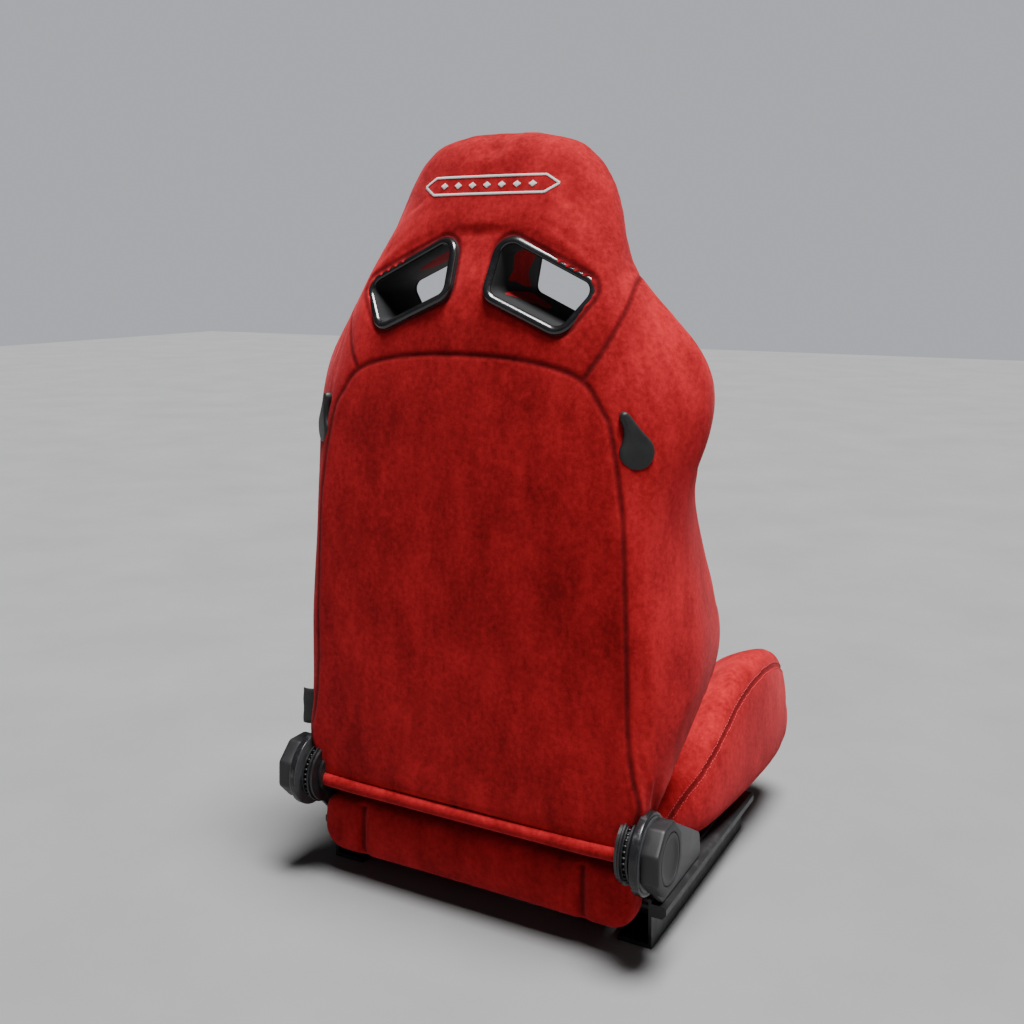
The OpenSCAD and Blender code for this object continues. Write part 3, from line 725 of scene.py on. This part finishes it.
# %% Swell and sew the backrest
back_cover = swollen(back_cover, back_seams + back_channels + back_hidden, 0.0045)
back_cover = subdivided(back_cover)
back_cover = pressed_in(back_cover, back_seams + back_hidden, 0.0016, 0.0032, back_channels)
back_surface = surface_of(back_cover)
paint(back_cover, suede_red)
print("back cover finished with", len(back_cover.data.polygons), "faces")

# %% [markdown]
# ## The hem of the backrest
#
# The lower edge of the rear panel is turned round a cord and sewn, so it reads as a soft
# roll with a dark gap below it. It is a tube along the hem, the same thickness all along.


# %% Tubes along a line
def tube(name, path, radius, sides=12, squeeze=1.0, up=(0, 0, 1)):
    """A closed tube with round ends; radius may change along the path."""
    path = np.array(path, float)
    radii = np.full(len(path), float(radius)) if np.isscalar(radius) else np.array(radius, float)
    along = np.gradient(path, axis=0)
    along /= np.linalg.norm(along, axis=1)[:, None]
    rings = []

    def ring(k, centre, r):
        side = np.cross(along[k], up)
        side /= np.linalg.norm(side)
        top = np.cross(side, along[k])
        turns = np.linspace(0, 2 * math.pi, sides, endpoint=False)
        return np.array([centre + r * (math.cos(t) * side + squeeze * math.sin(t) * top) for t in turns])
    for t in (0.2, 0.6):
        r = radii[0] * math.sin(t * math.pi / 2)
        rings.append(ring(0, path[0] - along[0] * radii[0] * math.cos(t * math.pi / 2), r))
    rings += [ring(k, path[k], radii[k]) for k in range(len(path))]
    for t in (0.6, 0.2):
        r = radii[-1] * math.sin(t * math.pi / 2)
        rings.append(ring(-1, path[-1] + along[-1] * radii[-1] * math.cos(t * math.pi / 2), r))
    return skin_rings(name, rings)


# %% Hem roll
hem_half = [(0.222, 0.196, 0.1305), (0.213, 0.2135, 0.1275), (0.18, 0.2178, 0.1268), (0.1, 0.2188, 0.1270)]
hem_line = through([(-x, y, z) for x, y, z in hem_half] + [(0.0, 0.2190, 0.1270)] + hem_half[::-1], 14, closed=False)
hem_roll = tube("hem_roll", hem_line, 0.0060, 14, 1.35)
paint(hem_roll, suede_plain)
print("hem roll", round(float(np.linalg.norm(np.diff(hem_line, axis=0), axis=1).sum()), 3), "m long")

# %% [markdown]
# ## The seat cushion
#
# The cushion is drawn the same way, but its slices stand across the seat: each row gives
# one depth from the back to the front. The tall side bolsters hold the hips, and the front
# edge rolls down over the pan.

# %% Cushion outline
SEAT = smooth_table([
    (-98, 220, 206, 110, 116, 128, 126, 66),
    (-40, 225, 211, 128, 136, 150, 147, 64),
    (0, 238, 222, 146, 155, 158, 154, 64),
    (50, 247, 233, 176, 190, 162, 157, 66),
    (100, 253, 240, 207, 220, 168, 161, 68),
    (160, 258, 246, 224, 235, 172, 165, 70),
    (222, 261, 249, 225, 237, 180, 174, 72),
    (273, 260, 247, 211, 223, 184, 180, 76),
    (301, 258, 243, 193, 206, 178, 175, 86),
    (316, 250, 231, 167, 178, 162, 160, 98),
    (324, 232, 210, 142, 150, 146, 144, 112)])


def seat_key(forward):
    """Half outline of the slice this far forward: (distance from the middle, height)."""
    xo, xs, zseam, ztop, zi, zc, zb = SEAT(forward)
    return [(0, zb), (0.45 * xo, zb), (xo - 19, zb), (xo - 3, zb + 10), (xo, zb + 0.5 * (zseam - zb)),
            (xs + 7, zseam - 8), (xs - 8, ztop), (xs - 30, ztop - 3), (168, 0.5 * (ztop + zi) - 3),
            (148, zi), (75, zc + 1), (0, zc)]


def seat_slice(forward, per_span=9):
    right = [(-x, -forward, z) for x, z in seat_key(forward)]
    left = [(x, -forward, z) for x, z in seat_key(forward)[-2:0:-1]]
    return through(np.array(right + left) * MM, per_span)


seat_steps = np.concatenate([np.linspace(-98, 290, 56), 290 + 34 * np.sin(np.linspace(0.08, 1, 10) * math.pi / 2)])
cushion_cover = skin_rings("cushion_cover", [seat_slice(f) for f in seat_steps])
cushion_cover = remeshed(cushion_cover, BACK_VOXEL, 5)
seat_surface = surface_of(cushion_cover)


def seat_line(i, forwards):
    """Key line i of the cushion along its length, for both sides."""
    return [np.array([(s * seat_key(f)[i][0], -f, seat_key(f)[i][1]) for f in forwards]) * MM for s in (-1, 1)]


def from_above(x, y):
    hit = seat_surface.ray_cast(Vector((x, y, 0.4)), Vector((0, 0, -1)))[0]
    return np.array(hit) if hit else np.array((x, y, 0.16))


lengths = list(range(-96, 290, 16)) + [298, 307, 314]
outer_seams = seat_line(5, lengths)
seat_inner = seat_line(9, lengths)
seat_channels = [np.array([from_above(x, y - 0.010 * (1 - (x / 0.14) ** 2)) for x in np.linspace(-0.144, 0.144, 25)])
                 for y in (0.03, -0.03, -0.09, -0.15, -0.21)]
front_seam = np.array([(x, -0.308 - 0.004 * math.cos(x * 12), 0.158) for x in np.linspace(-0.215, 0.215, 60)])
seat_seams = [draped(seat_surface, line) for line in outer_seams + seat_inner + [front_seam]]
seat_channels = [draped(seat_surface, line) for line in seat_channels]
cushion_cover = swollen(cushion_cover, seat_seams + seat_channels, 0.005,
                        keep=lambda p: p[:, 2] < 0.085)
cushion_cover = subdivided(cushion_cover)
cushion_cover = pressed_in(cushion_cover, seat_seams, 0.0016, 0.0032, seat_channels)
seat_surface = surface_of(cushion_cover)
paint(cushion_cover, suede_red)
print("cushion cover finished with", len(cushion_cover.data.polygons), "faces")

# %% [markdown]
# ## The rear skirt
#
# Below the hem a separate skirt closes the back of the cushion. It is sewn from three
# panels, so it has two upright seams and a softly filled middle, and its lower corners are
# cut round. It is drawn as a stack of round-cornered outlines, each a little smaller.


# %% Skirt
SKIRT = np.array([(-0.223, 0.030), (0.223, 0.030), (0.219, 0.102), (-0.219, 0.102)])


def spread_outline(corners, radii, steps=8, between=14):
    """A round-cornered outline with a radius for each corner, its straights divided."""
    made = []
    n = len(corners)
    arcs = [rounded_outline(corners, r, steps).reshape(n, steps + 1, 2)[i] for i, r in enumerate(radii)]
    for i in range(n):
        made += list(arcs[i])
        start, end = arcs[i][-1], arcs[(i + 1) % n][0]
        made += [start + (end - start) * k / between for k in range(1, between)]
    return np.array(made)


skirt_rings = []
for y, inset in ((0.166, 0.004), (0.170, 0.001), (0.188, 0.0), (0.197, 0.0008), (0.2015, 0.0028),
                 (0.2042, 0.0068), (0.2056, 0.012), (0.2062, 0.020)):
    outline = spread_outline(grown(SKIRT, -inset), [0.031 - inset, 0.031 - inset, 0.021 - inset, 0.021 - inset])
    skirt_rings.append(np.array([(x, y, z) for x, z in outline]))
skirt = skin_rings("rear_skirt", skirt_rings)
skirt = remeshed(skirt, 0.0045, 6)
skirt_surface = surface_of(skirt)
skirt_seams = [draped(skirt_surface, [(s * 0.156, 0.21, z) for z in np.linspace(0.03, 0.101, 20)]) for s in (-1, 1)]
skirt = swollen(skirt, skirt_seams, 0.004, keep=lambda p: p[:, 1] < 0.185)
skirt = subdivided(skirt)
skirt = pressed_in(skirt, skirt_seams, 0.0050, 0.0060)
paint(skirt, suede_red)
print("skirt has", len(skirt.data.polygons), "faces")

# %% [markdown]
# ## The harness slot rims
#
# Each slot is lined with a moulded tunnel that ends in a fat rounded rim at the back and a
# slim one at the front. A rim is a profile carried round the slot's outline, so both come
# from the same function: pairs of distance outward from the opening and height above it.


# %% Rims
def rear_plane(x, z):
    return 0.203 - 0.2035 * (abs(x) - 0.034) - 0.437 * (z - 0.765)


def front_plane(x, z):
    return 0.082 - 0.22 * (z - 0.765)


def carried_round(name, side, profile):
    """A closed ring: profile rows are (outward, plane, height above the plane)."""
    rings = []
    for outward, plane, height in profile:
        outline = spread_outline(grown(SLOT, outward), [0.012 + outward] * 4, 10, 6)
        rings.append(np.array([(side * x, plane(x, z) + height, z) for x, z in outline]))
    count = len(rings[0])
    verts = np.vstack(rings)
    faces = [((k * count + i), (k * count + (i + 1) % count), ((k + 1) % len(rings)) * count + (i + 1) % count,
              ((k + 1) % len(rings)) * count + i) for k in range(len(rings)) for i in range(count)]
    mesh = bpy.data.meshes.new(name)
    mesh.from_pydata(verts.tolist(), [], faces)
    return finished(name, mesh)


REAR_RIM = [(0.0000, front_plane, 0.004), (0.0000, rear_plane, -0.010), (0.0004, rear_plane, -0.002),
            (0.0010, rear_plane, 0.0022), (0.0022, rear_plane, 0.0046), (0.0042, rear_plane, 0.0060),
            (0.0066, rear_plane, 0.0062), (0.0090, rear_plane, 0.0052), (0.0108, rear_plane, 0.0032),
            (0.0117, rear_plane, 0.0006), (0.0120, rear_plane, -0.004), (0.0110, rear_plane, -0.010),
            (0.0030, rear_plane, -0.012), (0.0028, front_plane, 0.004)]
FRONT_RIM = [(0.0000, front_plane, 0.006), (0.0002, front_plane, -0.001), (0.0014, front_plane, -0.0036),
             (0.0036, front_plane, -0.0050), (0.0062, front_plane, -0.0046), (0.0084, front_plane, -0.0028),
             (0.0094, front_plane, 0.0), (0.0092, front_plane, 0.006)]
slot_pieces = {}
for side, word in ((1, "left"), (-1, "right")):
    slot_pieces["slot_liner_" + word] = carried_round("slot_tunnel_" + word, side, REAR_RIM)
    slot_pieces["slot_ring_" + word] = carried_round("slot_front_rim_" + word, side, FRONT_RIM)
for piece in slot_pieces.values():
    paint(piece, slot_gloss, tunnel_matte)
    for face in piece.data.polygons:
        if abs(face.normal.y) < 0.2:
            face.material_index = 1
print("slot pieces:", len(slot_pieces))

# %% [markdown]
# ## Levers
#
# A teardrop lever on a round base releases the backrest. Moulded parts have no sharp edges,
# so each outline is stacked a few times with smaller copies near the edge, which rounds it.


# %% Placing flat outlines in space
def stacked(name, layers, centre, u, v, w):
    """Skins outlines given as (points in the u-v plane, height along w)."""
    centre, u, v, w = (np.array(t, float) for t in (centre, u, v, w))
    rings = [centre + outline[:, :1] * u + outline[:, 1:2] * v + height * w for outline, height in layers]
    return skin_rings(name, rings)


def circle(radius, count=72):
    turns = np.linspace(0, 2 * math.pi, count, endpoint=False)
    return radius * np.stack([np.cos(turns), np.sin(turns)], 1)


# %% Levers and their bases
LEVER_TURN = math.radians(40)
tear = np.array([(21, 2), (17.2, 12), (15.6, 21), (16.4, 30), (20, 40), (17.5, 45.2), (13, 46), (9.5, 43.4),
                 (-4, 26.5), (-19, 9), (-21, 0), (-19, -9), (-13.5, -16), (-6, -20), (3, -20.8), (11, -17.9),
                 (17.6, -11.5), (20.6, -4.5)]) * MM
tear = through(tear, 6)
lever_pieces, base_pieces = {}, {}
for side, word in ((1, "left"), (-1, "right")):
    centre = (side * 0.223, 0.198, 0.584)
    u = (-side * math.cos(LEVER_TURN), math.sin(LEVER_TURN), 0)
    w = (side * math.sin(LEVER_TURN), math.cos(LEVER_TURN), 0)
    layers = [(grown(tear, -inset * MM), height * MM) for inset, height in
              ((2.6, -5.5), (0.8, -5.3), (0, -4.2), (0, 1.2), (0.5, 2.6), (1.5, 3.7), (2.8, 4.2), (3.8, 4.4))]
    lever_pieces[word] = stacked("lever_handle_" + word, layers, centre, u, (0, 0, 1), w)
    layers = [(circle(r * MM), height * MM) for r, height in
              ((21.5, -18), (22.6, -17.6), (23, -16.5), (23, -10.6), (24.4, -10), (25, -9.2), (25.1, -7.6),
               (24.6, -6.6), (23.4, -6.1), (21.6, -6.0), (21.0, -6.8), (12, -6.9), (6, -6.9), (4.4, -6.6))]
    base_pieces[word] = stacked("lever_socket_" + word, layers, centre, u, (0, 0, 1), w)
for piece in list(lever_pieces.values()) + list(base_pieces.values()):
    paint(piece, black_grained)
print("levers:", len(lever_pieces))

# %% [markdown]
# ## Recliner covers and dials
#
# The steel mechanism is hidden by a flat satin cover with a round flange, whose outer edge
# is glossier than the rest, slightly worn, and flecked lighter as a painted highlight. The dial
# has eight flats for grip, and a dished disc is let into its face inside a fine groove.

# %% Recliner covers
AXIS = np.array((0, 0.203, 0.131))
PLATE = np.array([(240, 128), (226, 162), (188, 170), (34, 84), (30, 54), (160, 54), (188, 82)]) * MM - AXIS[1:]
# Wear and painted highlight: lighter worn flecks round the flange's outer edge, partly rubbed paint and partly a
# painted glint.
worn_edge_and_painted_highlight = metal("rubbed_cover_edge_and_painted_highlight", (0.020, 0.020, 0.022), 0.24, (0.16, 0.16, 0.17), 0.35)
cover_pieces, dial_pieces, cap_pieces = {}, {}, {}
for side, word in ((1, "left"), (-1, "right")):
    out, y_axis, up = (side, 0, 0), (0, 1, 0), (0, 0, 1)
    plate_layers = [(spread_outline(grown(PLATE, -inset * MM), [(9 - inset) * MM] * 7, 8, 4), x * MM) for inset, x in
                    ((1.2, 233), (0.2, 233.3), (0, 234), (0, 238.6), (0.3, 239.4), (0.9, 239.9), (1.6, 240.05))]
    plate = stacked("cover_plate", plate_layers, AXIS, y_axis, up, out)
    rim_layers = [(circle(r * MM, 96), x * MM) for r, x in
                  ((43.6, 233.2), (44.8, 233.6), (45, 234.5), (45, 240.6), (44.7, 241.8), (43.9, 242.6),
                   (42.8, 243), (40.6, 243), (40.2, 242.5), (39.6, 242.5), (39.2, 243), (20, 243.1), (10, 243.1))]
    flange = stacked("cover_flange", rim_layers, AXIS, y_axis, up, out)
    paint(plate, cover_satin)
    paint(flange, cover_satin, worn_edge_and_painted_highlight)
    for face in flange.data.polygons:
        spot = np.array(face.center) - AXIS
        reach = math.hypot(spot[1], spot[2])
        if reach > 0.0432 and 0.234 < abs(spot[0]) < 0.2429:
            face.material_index = 1
    cover_pieces[word] = (plate, flange)

# %% Dials
FLATS = spread_outline([0.0405 * np.array((math.cos(t), math.sin(t)))
                        for t in (math.radians(22.5 + 45 * i) for i in range(8))], [0.0075] * 8, 6, 6)
ROUND = FLATS / np.linalg.norm(FLATS, axis=1)[:, None]
for side, word in ((1, "left"), (-1, "right")):
    out, y_axis, up = (side, 0, 0), (0, 1, 0), (0, 0, 1)
    body = [(FLATS * k, x * MM) for k, x in ((0.93, 244), (0.972, 244.4), (0.985, 245.4), (0.992, 252), (1.0, 261.2),
                                             (0.996, 263.2), (0.984, 264.8), (0.964, 265.6), (0.935, 266.0))]
    body += [(ROUND * r * MM, x * MM) for r, x in ((30.2, 266.1), (29.0, 266.0), (28.7, 265.4), (28.6, 262.5),
                                                   (14, 261.5))]
    dial_pieces[word] = stacked("dial_grip_" + word, body, AXIS, y_axis, up, out)
    cap = [(ROUND * r * MM, x * MM) for r, x in ((27.2, 262.8), (27.9, 263.4), (28.0, 265.0), (27.6, 265.7),
                                                 (26.6, 266.0), (24.6, 265.9), (22.6, 265.2), (20.4, 264.2),
                                                 (17, 263.5), (12, 263.1), (6, 263.0))]
    cap_pieces[word] = stacked("dial_disc_" + word, cap, AXIS, y_axis, up, out)
    paint(dial_pieces[word], black_grained)
    paint(cap_pieces[word], dial_inlay)
print("dial", round(2 * float(np.abs(FLATS).max()) * 1000, 1), "mm across")

# %% [markdown]
# ## The side tag
#
# A folded woven tag is caught in the left corner seam. It is left blank. It is a thin strip
# that leaves the seam, curls a little, and folds back on itself.

# %% Side tag
tag_rows = []
for t in np.linspace(0, 1, 12):
    curl = 0.0035 * math.sin(t * 2.4)
    tag_rows.append([(0.2335 + 0.0165 * t, 0.2052 + curl + 0.0006 * math.sin(k * 1.3), 0.1905 + 0.0455 * k / 9)
                     for k in range(10)])
tag_grid = np.array(tag_rows)
tag_mesh = bpy.data.meshes.new("blank_side_tag")
tag_mesh.from_pydata(tag_grid.reshape(-1, 3).tolist(), [],
                     [(i * 10 + k, i * 10 + k + 1, (i + 1) * 10 + k + 1, (i + 1) * 10 + k)
                      for i in range(11) for k in range(9)])
tag = finished("blank_side_tag", tag_mesh)
thick = tag.modifiers.new("fold", "SOLIDIFY")
thick.thickness, thick.offset = 0.0011, 0.0
tag = evaluated(tag)
paint(tag, tag_cloth)
print("tag", tuple(round(v * 1000) for v in tag.dimensions), "mm")

# %% [markdown]
# ## Thread
#
# Stitches repeat along a path, so Geometry Nodes place them: a short capsule of thread at
# every point of a path, turned along a direction that is stored on the point. Seams take
# stitches along the path; satin embroidery takes them across it, packed side by side.


# %% The stitch tree
def placing_tree(name, numbers, finish, sides=None):
    """A tree that turns one shape along each point's stored way; its shape is linked in later."""
    tree = bpy.data.node_groups.new(name, "GeometryNodeTree")
    face = tree.interface
    face.new_socket("Geometry", in_out="INPUT", socket_type="NodeSocketGeometry")
    for label, value in numbers:
        face.new_socket(label, in_out="INPUT", socket_type="NodeSocketFloat").default_value = value
    if sides:
        face.new_socket("Sides", in_out="INPUT", socket_type="NodeSocketInt").default_value = sides
    face.new_socket(finish, in_out="INPUT", socket_type="NodeSocketMaterial")
    face.new_socket("Geometry", in_out="OUTPUT", socket_type="NodeSocketGeometry")
    add, link = tree.nodes.new, tree.links.new
    start, end = add("NodeGroupInput"), add("NodeGroupOutput")
    way = add("GeometryNodeInputNamedAttribute")
    way.data_type = "FLOAT_VECTOR"
    way.inputs["Name"].default_value = "way"
    turn = add("FunctionNodeAlignRotationToVector")
    turn.axis = "Z"
    link(way.outputs["Attribute"], turn.inputs["Vector"])
    place = add("GeometryNodeInstanceOnPoints")
    link(start.outputs["Geometry"], place.inputs["Points"])
    link(turn.outputs["Rotation"], place.inputs["Rotation"])
    real, dress = add("GeometryNodeRealizeInstances"), add("GeometryNodeSetMaterial")
    link(place.outputs["Instances"], real.inputs["Geometry"])
    link(real.outputs["Geometry"], dress.inputs["Geometry"])
    link(start.outputs[finish], dress.inputs["Material"])
    link(dress.outputs["Geometry"], end.inputs["Geometry"])
    return tree, start, turn, place


def stitch_tree():
    tree, start, _, place = placing_tree("stitches", (("Thread Radius", 0.0005),), "Thread", 6)
    add, link = tree.nodes.new, tree.links.new
    bead = add("GeometryNodeMeshUVSphere")
    bead.inputs["Rings"].default_value = 6
    bead.inputs["Radius"].default_value = 1.0
    link(start.outputs["Sides"], bead.inputs["Segments"])
    size = add("GeometryNodeInputNamedAttribute")
    size.data_type = "FLOAT"
    size.inputs["Name"].default_value = "reach"
    uneven = add("FunctionNodeRandomValue")
    uneven.data_type = "FLOAT"
    uneven.inputs[2].default_value, uneven.inputs[3].default_value = 0.92, 1.06
    uneven.inputs["Seed"].default_value = 7
    fat = add("ShaderNodeMath")
    fat.operation = "MULTIPLY"
    link(start.outputs["Thread Radius"], fat.inputs[0])
    link(uneven.outputs[1], fat.inputs[1])
    scale = add("ShaderNodeCombineXYZ")
    link(fat.outputs[0], scale.inputs["X"])
    link(fat.outputs[0], scale.inputs["Y"])
    link(size.outputs["Attribute"], scale.inputs["Z"])
    link(bead.outputs["Mesh"], place.inputs["Instance"])
    link(scale.outputs["Vector"], place.inputs["Scale"])
    return tree


STITCHES = stitch_tree()


def with_nodes(name, points, attributes, tree, inputs):
    """Runs a node tree on loose points with stored attributes; returns a plain mesh object."""
    mesh = bpy.data.meshes.new(name)
    mesh.from_pydata([tuple(p) for p in points], [], [])
    for key, values in attributes.items():
        values = np.array(values, np.float32)
        kind = "FLOAT_VECTOR" if values.ndim == 2 else "FLOAT"
        stored = mesh.attributes.new(key, kind, "POINT")
        stored.data.foreach_set("vector" if values.ndim == 2 else "value", values.ravel())
    piece = bpy.data.objects.new(name, mesh)
    scene.collection.objects.link(piece)
    modifier = piece.modifiers.new("nodes", "NODES")
    modifier.node_group = tree
    sockets = {item.name: item.identifier for item in tree.interface.items_tree if item.in_out == "INPUT"}
    for key, value in inputs.items():
        modifier[sockets[key]] = value
    return evaluated(piece)


def topstitch(lines, tree, offset=0.0, pitch=0.0046, long=0.0034, lift=0.0002):
    """Points and directions for a row of stitches beside each line, on a surface."""
    places, ways = [], []
    for line in lines:
        path = even_line(line, pitch)
        along = np.gradient(path, axis=0)
        along /= np.linalg.norm(along, axis=1)[:, None] + 1e-12
        for p, a in zip(path, along):
            hit, normal = tree.find_nearest(Vector(p))[:2]
            aside = Vector(a).cross(normal)
            if aside.length < 1e-6:
                continue
            hit, normal = tree.find_nearest(hit + aside.normalized() * offset)[:2]
            places.append(np.array(hit + normal * lift))
            ways.append(a)
    return np.array(places), {"way": np.array(ways), "reach": np.full(len(places), long / 2)}


# %% Seam stitches
back_rows = [topstitch(lines, back_surface, off) for lines, off in
             ((back_seams[3:5], 0.0042), (back_seams[3:5], -0.0042))]
seat_rows = [topstitch(lines, seat_surface, off) for lines, off in
             ((seat_seams[:2], 0.0042), (seat_seams[:2], -0.0042), (seat_seams[2:4], 0.0042),
              (seat_seams[2:4], -0.0042))]
hem_edge = [draped(back_surface, [back_point(z, 0.8, i, s) for i in range(3, 7)])
            for s in (-1, 1) for z in (131.0,)]
back_rows.append(topstitch(hem_edge, back_surface, 0.0))


def joined(rows):
    places = np.vstack([r[0] for r in rows])
    ways = np.vstack([r[1]["way"] for r in rows])
    reach = np.concatenate([r[1]["reach"] for r in rows])
    return places, {"way": ways, "reach": reach}


places, stored = joined(back_rows)
back_stitches = with_nodes("backrest_topstitch", places, stored, STITCHES,
                           {"Thread Radius": 0.00052, "Thread": red_thread})
places, stored = joined(seat_rows)
seat_stitches = with_nodes("cushion_topstitch", places, stored, STITCHES,
                           {"Thread Radius": 0.00052, "Thread": red_thread})
print("stitch faces:", len(back_stitches.data.polygons), len(seat_stitches.data.polygons))

# %% [markdown]
# The back of the head carries a white embroidered ornament. It is a plain one of our own: a
# long pointed frame with a row of small diamonds in it, all in satin stitch.


# %% Embroidered ornament
def on_head(x, z):
    hit, normal = back_surface.ray_cast(Vector((x, 0.4, z)), Vector((0, -1, 0)))[:2]
    return np.array(hit), np.array(normal)


ORNAMENT_X, ORNAMENT_Z = -0.002, 0.899
frame_corners = [(-0.097, 0), (-0.080, 0.0112), (0.080, 0.0112), (0.097, 0), (0.080, -0.0112), (-0.080, -0.0112)]
satin_points, satin_ways, satin_reach = [], [], []


def satin(x, z, direction, length):
    here, normal = on_head(ORNAMENT_X + x, ORNAMENT_Z + z)
    there = on_head(ORNAMENT_X + x + direction[0] * 0.002, ORNAMENT_Z + z + direction[1] * 0.002)[0]
    satin_points.append(here + normal * 0.0004)
    satin_ways.append(there - here)
    satin_reach.append(length / 2)


SATIN_PITCH = 0.00075
for i, corner in enumerate(frame_corners):
    a, b = np.array(corner), np.array(frame_corners[(i + 1) % 6])
    run = np.linalg.norm(b - a)
    across = np.array((-(b - a)[1], (b - a)[0])) / run
    for k in range(int(run / SATIN_PITCH)):
        x, z = a + (b - a) * (k + 0.5) * SATIN_PITCH / run
        satin(x, z, across, 0.0036)
for centre in np.linspace(-0.064, 0.064, 7):
    half = 0.0054
    for k in range(int(2 * half / SATIN_PITCH)):
        x = -half + (k + 0.5) * SATIN_PITCH
        satin(centre + x, 0.0, (0, 1), 1.7 * (half - abs(x)) + 0.0008)
ornament = with_nodes("embroidered_ornament", satin_points, {"way": satin_ways, "reach": satin_reach}, STITCHES,
                      {"Thread Radius": 0.0005, "Thread": white_thread})
print("ornament stitches:", len(satin_points))

# %% [markdown]
# ## Steel that still shows
#
# The rails, plates and springs are used as they come from the frame. They only need the
# right finish: black powder coat on pressings, dark phosphate on the recliner, drawn steel
# on pins and bolts.

# %% Finishes of the frame's own parts
FINISHES = (
    (coated_steel, ("side_rail_left", "side_rail_right", "front_crossmember", "rear_crossmember", "seat_pan",
                    "recliner_plate_left", "recliner_plate_right", "back_hoop", "lower_crossbar",
                    "upper_crossbar", "head_frame")),
    (recliner_steel, ("recliner_gear_left", "recliner_gear_right", "fold_sector_left", "fold_sector_right",
                      "hinge_plate_left", "hinge_plate_right", "spiral_spring_left", "spiral_spring_right")),
    (bright_steel, ("sync_shaft", "rail_bolts", "cushion_springs", "back_springs")),
    (black_grained, ("release_cable_left", "release_cable_right")))
for finish, names in FINISHES:
    for name in names:
        paint(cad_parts[name], finish)
print("dressed", sum(len(names) for _, names in FINISHES), "frame parts")

# %% [markdown]
# ## Ribs on the recliner drum
#
# The drum between the frame and the cover has a coarse rib all round it. One rib is placed
# many times by Geometry Nodes, on points round a circle; the rib's size is an input.


# %% Ribs
def rib_tree():
    numbers = (("Rib Width", 0.002), ("Rib Height", 0.003), ("Rib Length", 0.008))
    tree, start, turn, place = placing_tree("drum_ribs", numbers, "Finish")
    turn.pivot_axis = "X"
    add, link = tree.nodes.new, tree.links.new
    block, size = add("GeometryNodeMeshCube"), add("ShaderNodeCombineXYZ")
    link(start.outputs["Rib Length"], size.inputs["X"])
    link(start.outputs["Rib Width"], size.inputs["Y"])
    link(start.outputs["Rib Height"], size.inputs["Z"])
    link(size.outputs["Vector"], block.inputs["Size"])
    soft = add("GeometryNodeSubdivisionSurface")
    soft.inputs["Level"].default_value = 1
    soft.inputs["Edge Crease"].default_value = 0.85
    link(block.outputs["Mesh"], soft.inputs["Mesh"])
    link(soft.outputs["Mesh"], place.inputs["Instance"])
    return tree


RIBS = rib_tree()
turns = np.linspace(0, 2 * math.pi, 36, endpoint=False)
drum_points = [AXIS + (s * 0.2235, 0.0352 * math.cos(t), 0.0352 * math.sin(t)) for s in (-1, 1) for t in turns]
drum_ways = [(0, math.cos(t), math.sin(t)) for s in (-1, 1) for t in turns]
drum_ribs = with_nodes("recliner_drum_ribs", drum_points, {"way": drum_ways}, RIBS,
                       {"Rib Length": 0.0046, "Rib Width": 0.0022, "Rib Height": 0.0030, "Finish": recliner_steel})
print("ribs:", len(drum_points))

# %% [markdown]
# ## Floor
#
# A plain pale floor catches the shadow. It isn't part of the seat.

# %% Floor
floor_mesh = bpy.data.meshes.new("floor")
floor_mesh.from_pydata([(-9, -9, 0), (9, -9, 0), (9, 9, 0), (-9, 9, 0)], [], [(0, 1, 2, 3)])
floor = bpy.data.objects.new("floor", floor_mesh)
scene.collection.objects.link(floor)
concrete, floor_tree, floor_shader = new_material("pale_floor")
cloudy = noise(floor_tree, place_node(floor_tree), 3.0, 6.0, 0.6)
floor_tree.links.new(ramp(floor_tree, cloudy, [(0.3, grey(0.21)), (0.7, grey(0.24))]),
                     floor_shader.inputs["Base Color"])
floor_shader.inputs["Roughness"].default_value = 0.9
paint(floor, concrete)

# %% [markdown]
# ## What moves with what
#
# The pieces ride on the bodies of the frame, and the plain solids they stand for are
# hidden. Each row also lists a finish name, which nothing here uses.

# %% Ride and replace
RIDES = [
    (back_cover, "backrest", "suede", ("back_panel", "back_pad", "back_bolster_left", "back_bolster_right",
                                       "shoulder_wing_left", "shoulder_wing_right", "head_pad", "slot_block")),
    (hem_roll, "backrest", "suede", ("back_hem",)),
    (cushion_cover, "base", "suede", ("cushion_pad", "cushion_front", "cushion_bolster_left",
                                      "cushion_bolster_right")),
    (skirt, "base", "suede", ("cushion_skirt",)),
    (tag, "backrest", "tag_fabric", ("side_tag",)),
    (back_stitches, "backrest", "suede", ()),
    (seat_stitches, "base", "suede", ()),
    (ornament, "backrest", "suede", ()),
    (drum_ribs, "base", "recliner_steel", ())]
for word in ("left", "right"):
    RIDES += [
        (slot_pieces["slot_liner_" + word], "backrest", "slot_plastic", ("slot_liner_" + word,)),
        (slot_pieces["slot_ring_" + word], "backrest", "slot_plastic", ("slot_ring_" + word,)),
        (lever_pieces[word], "lever_" + word, "dial_plastic", ("lever_" + word,)),
        (base_pieces[word], "backrest", "dial_plastic", ("lever_base_" + word,)),
        (cover_pieces[word][0], "base", "cover_plastic", ("recliner_cover_" + word,)),
        (cover_pieces[word][1], "base", "cover_plastic", ()),
        (dial_pieces[word], "dials", "dial_plastic", ("dial_" + word,)),
        (cap_pieces[word], "dials", "cover_plastic", ("dial_cap_" + word,))]
for piece, body, slot, replaced in RIDES:
    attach(piece, body)
    if replaced:
        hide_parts(*replaced)
print("pieces:", len(RIDES))
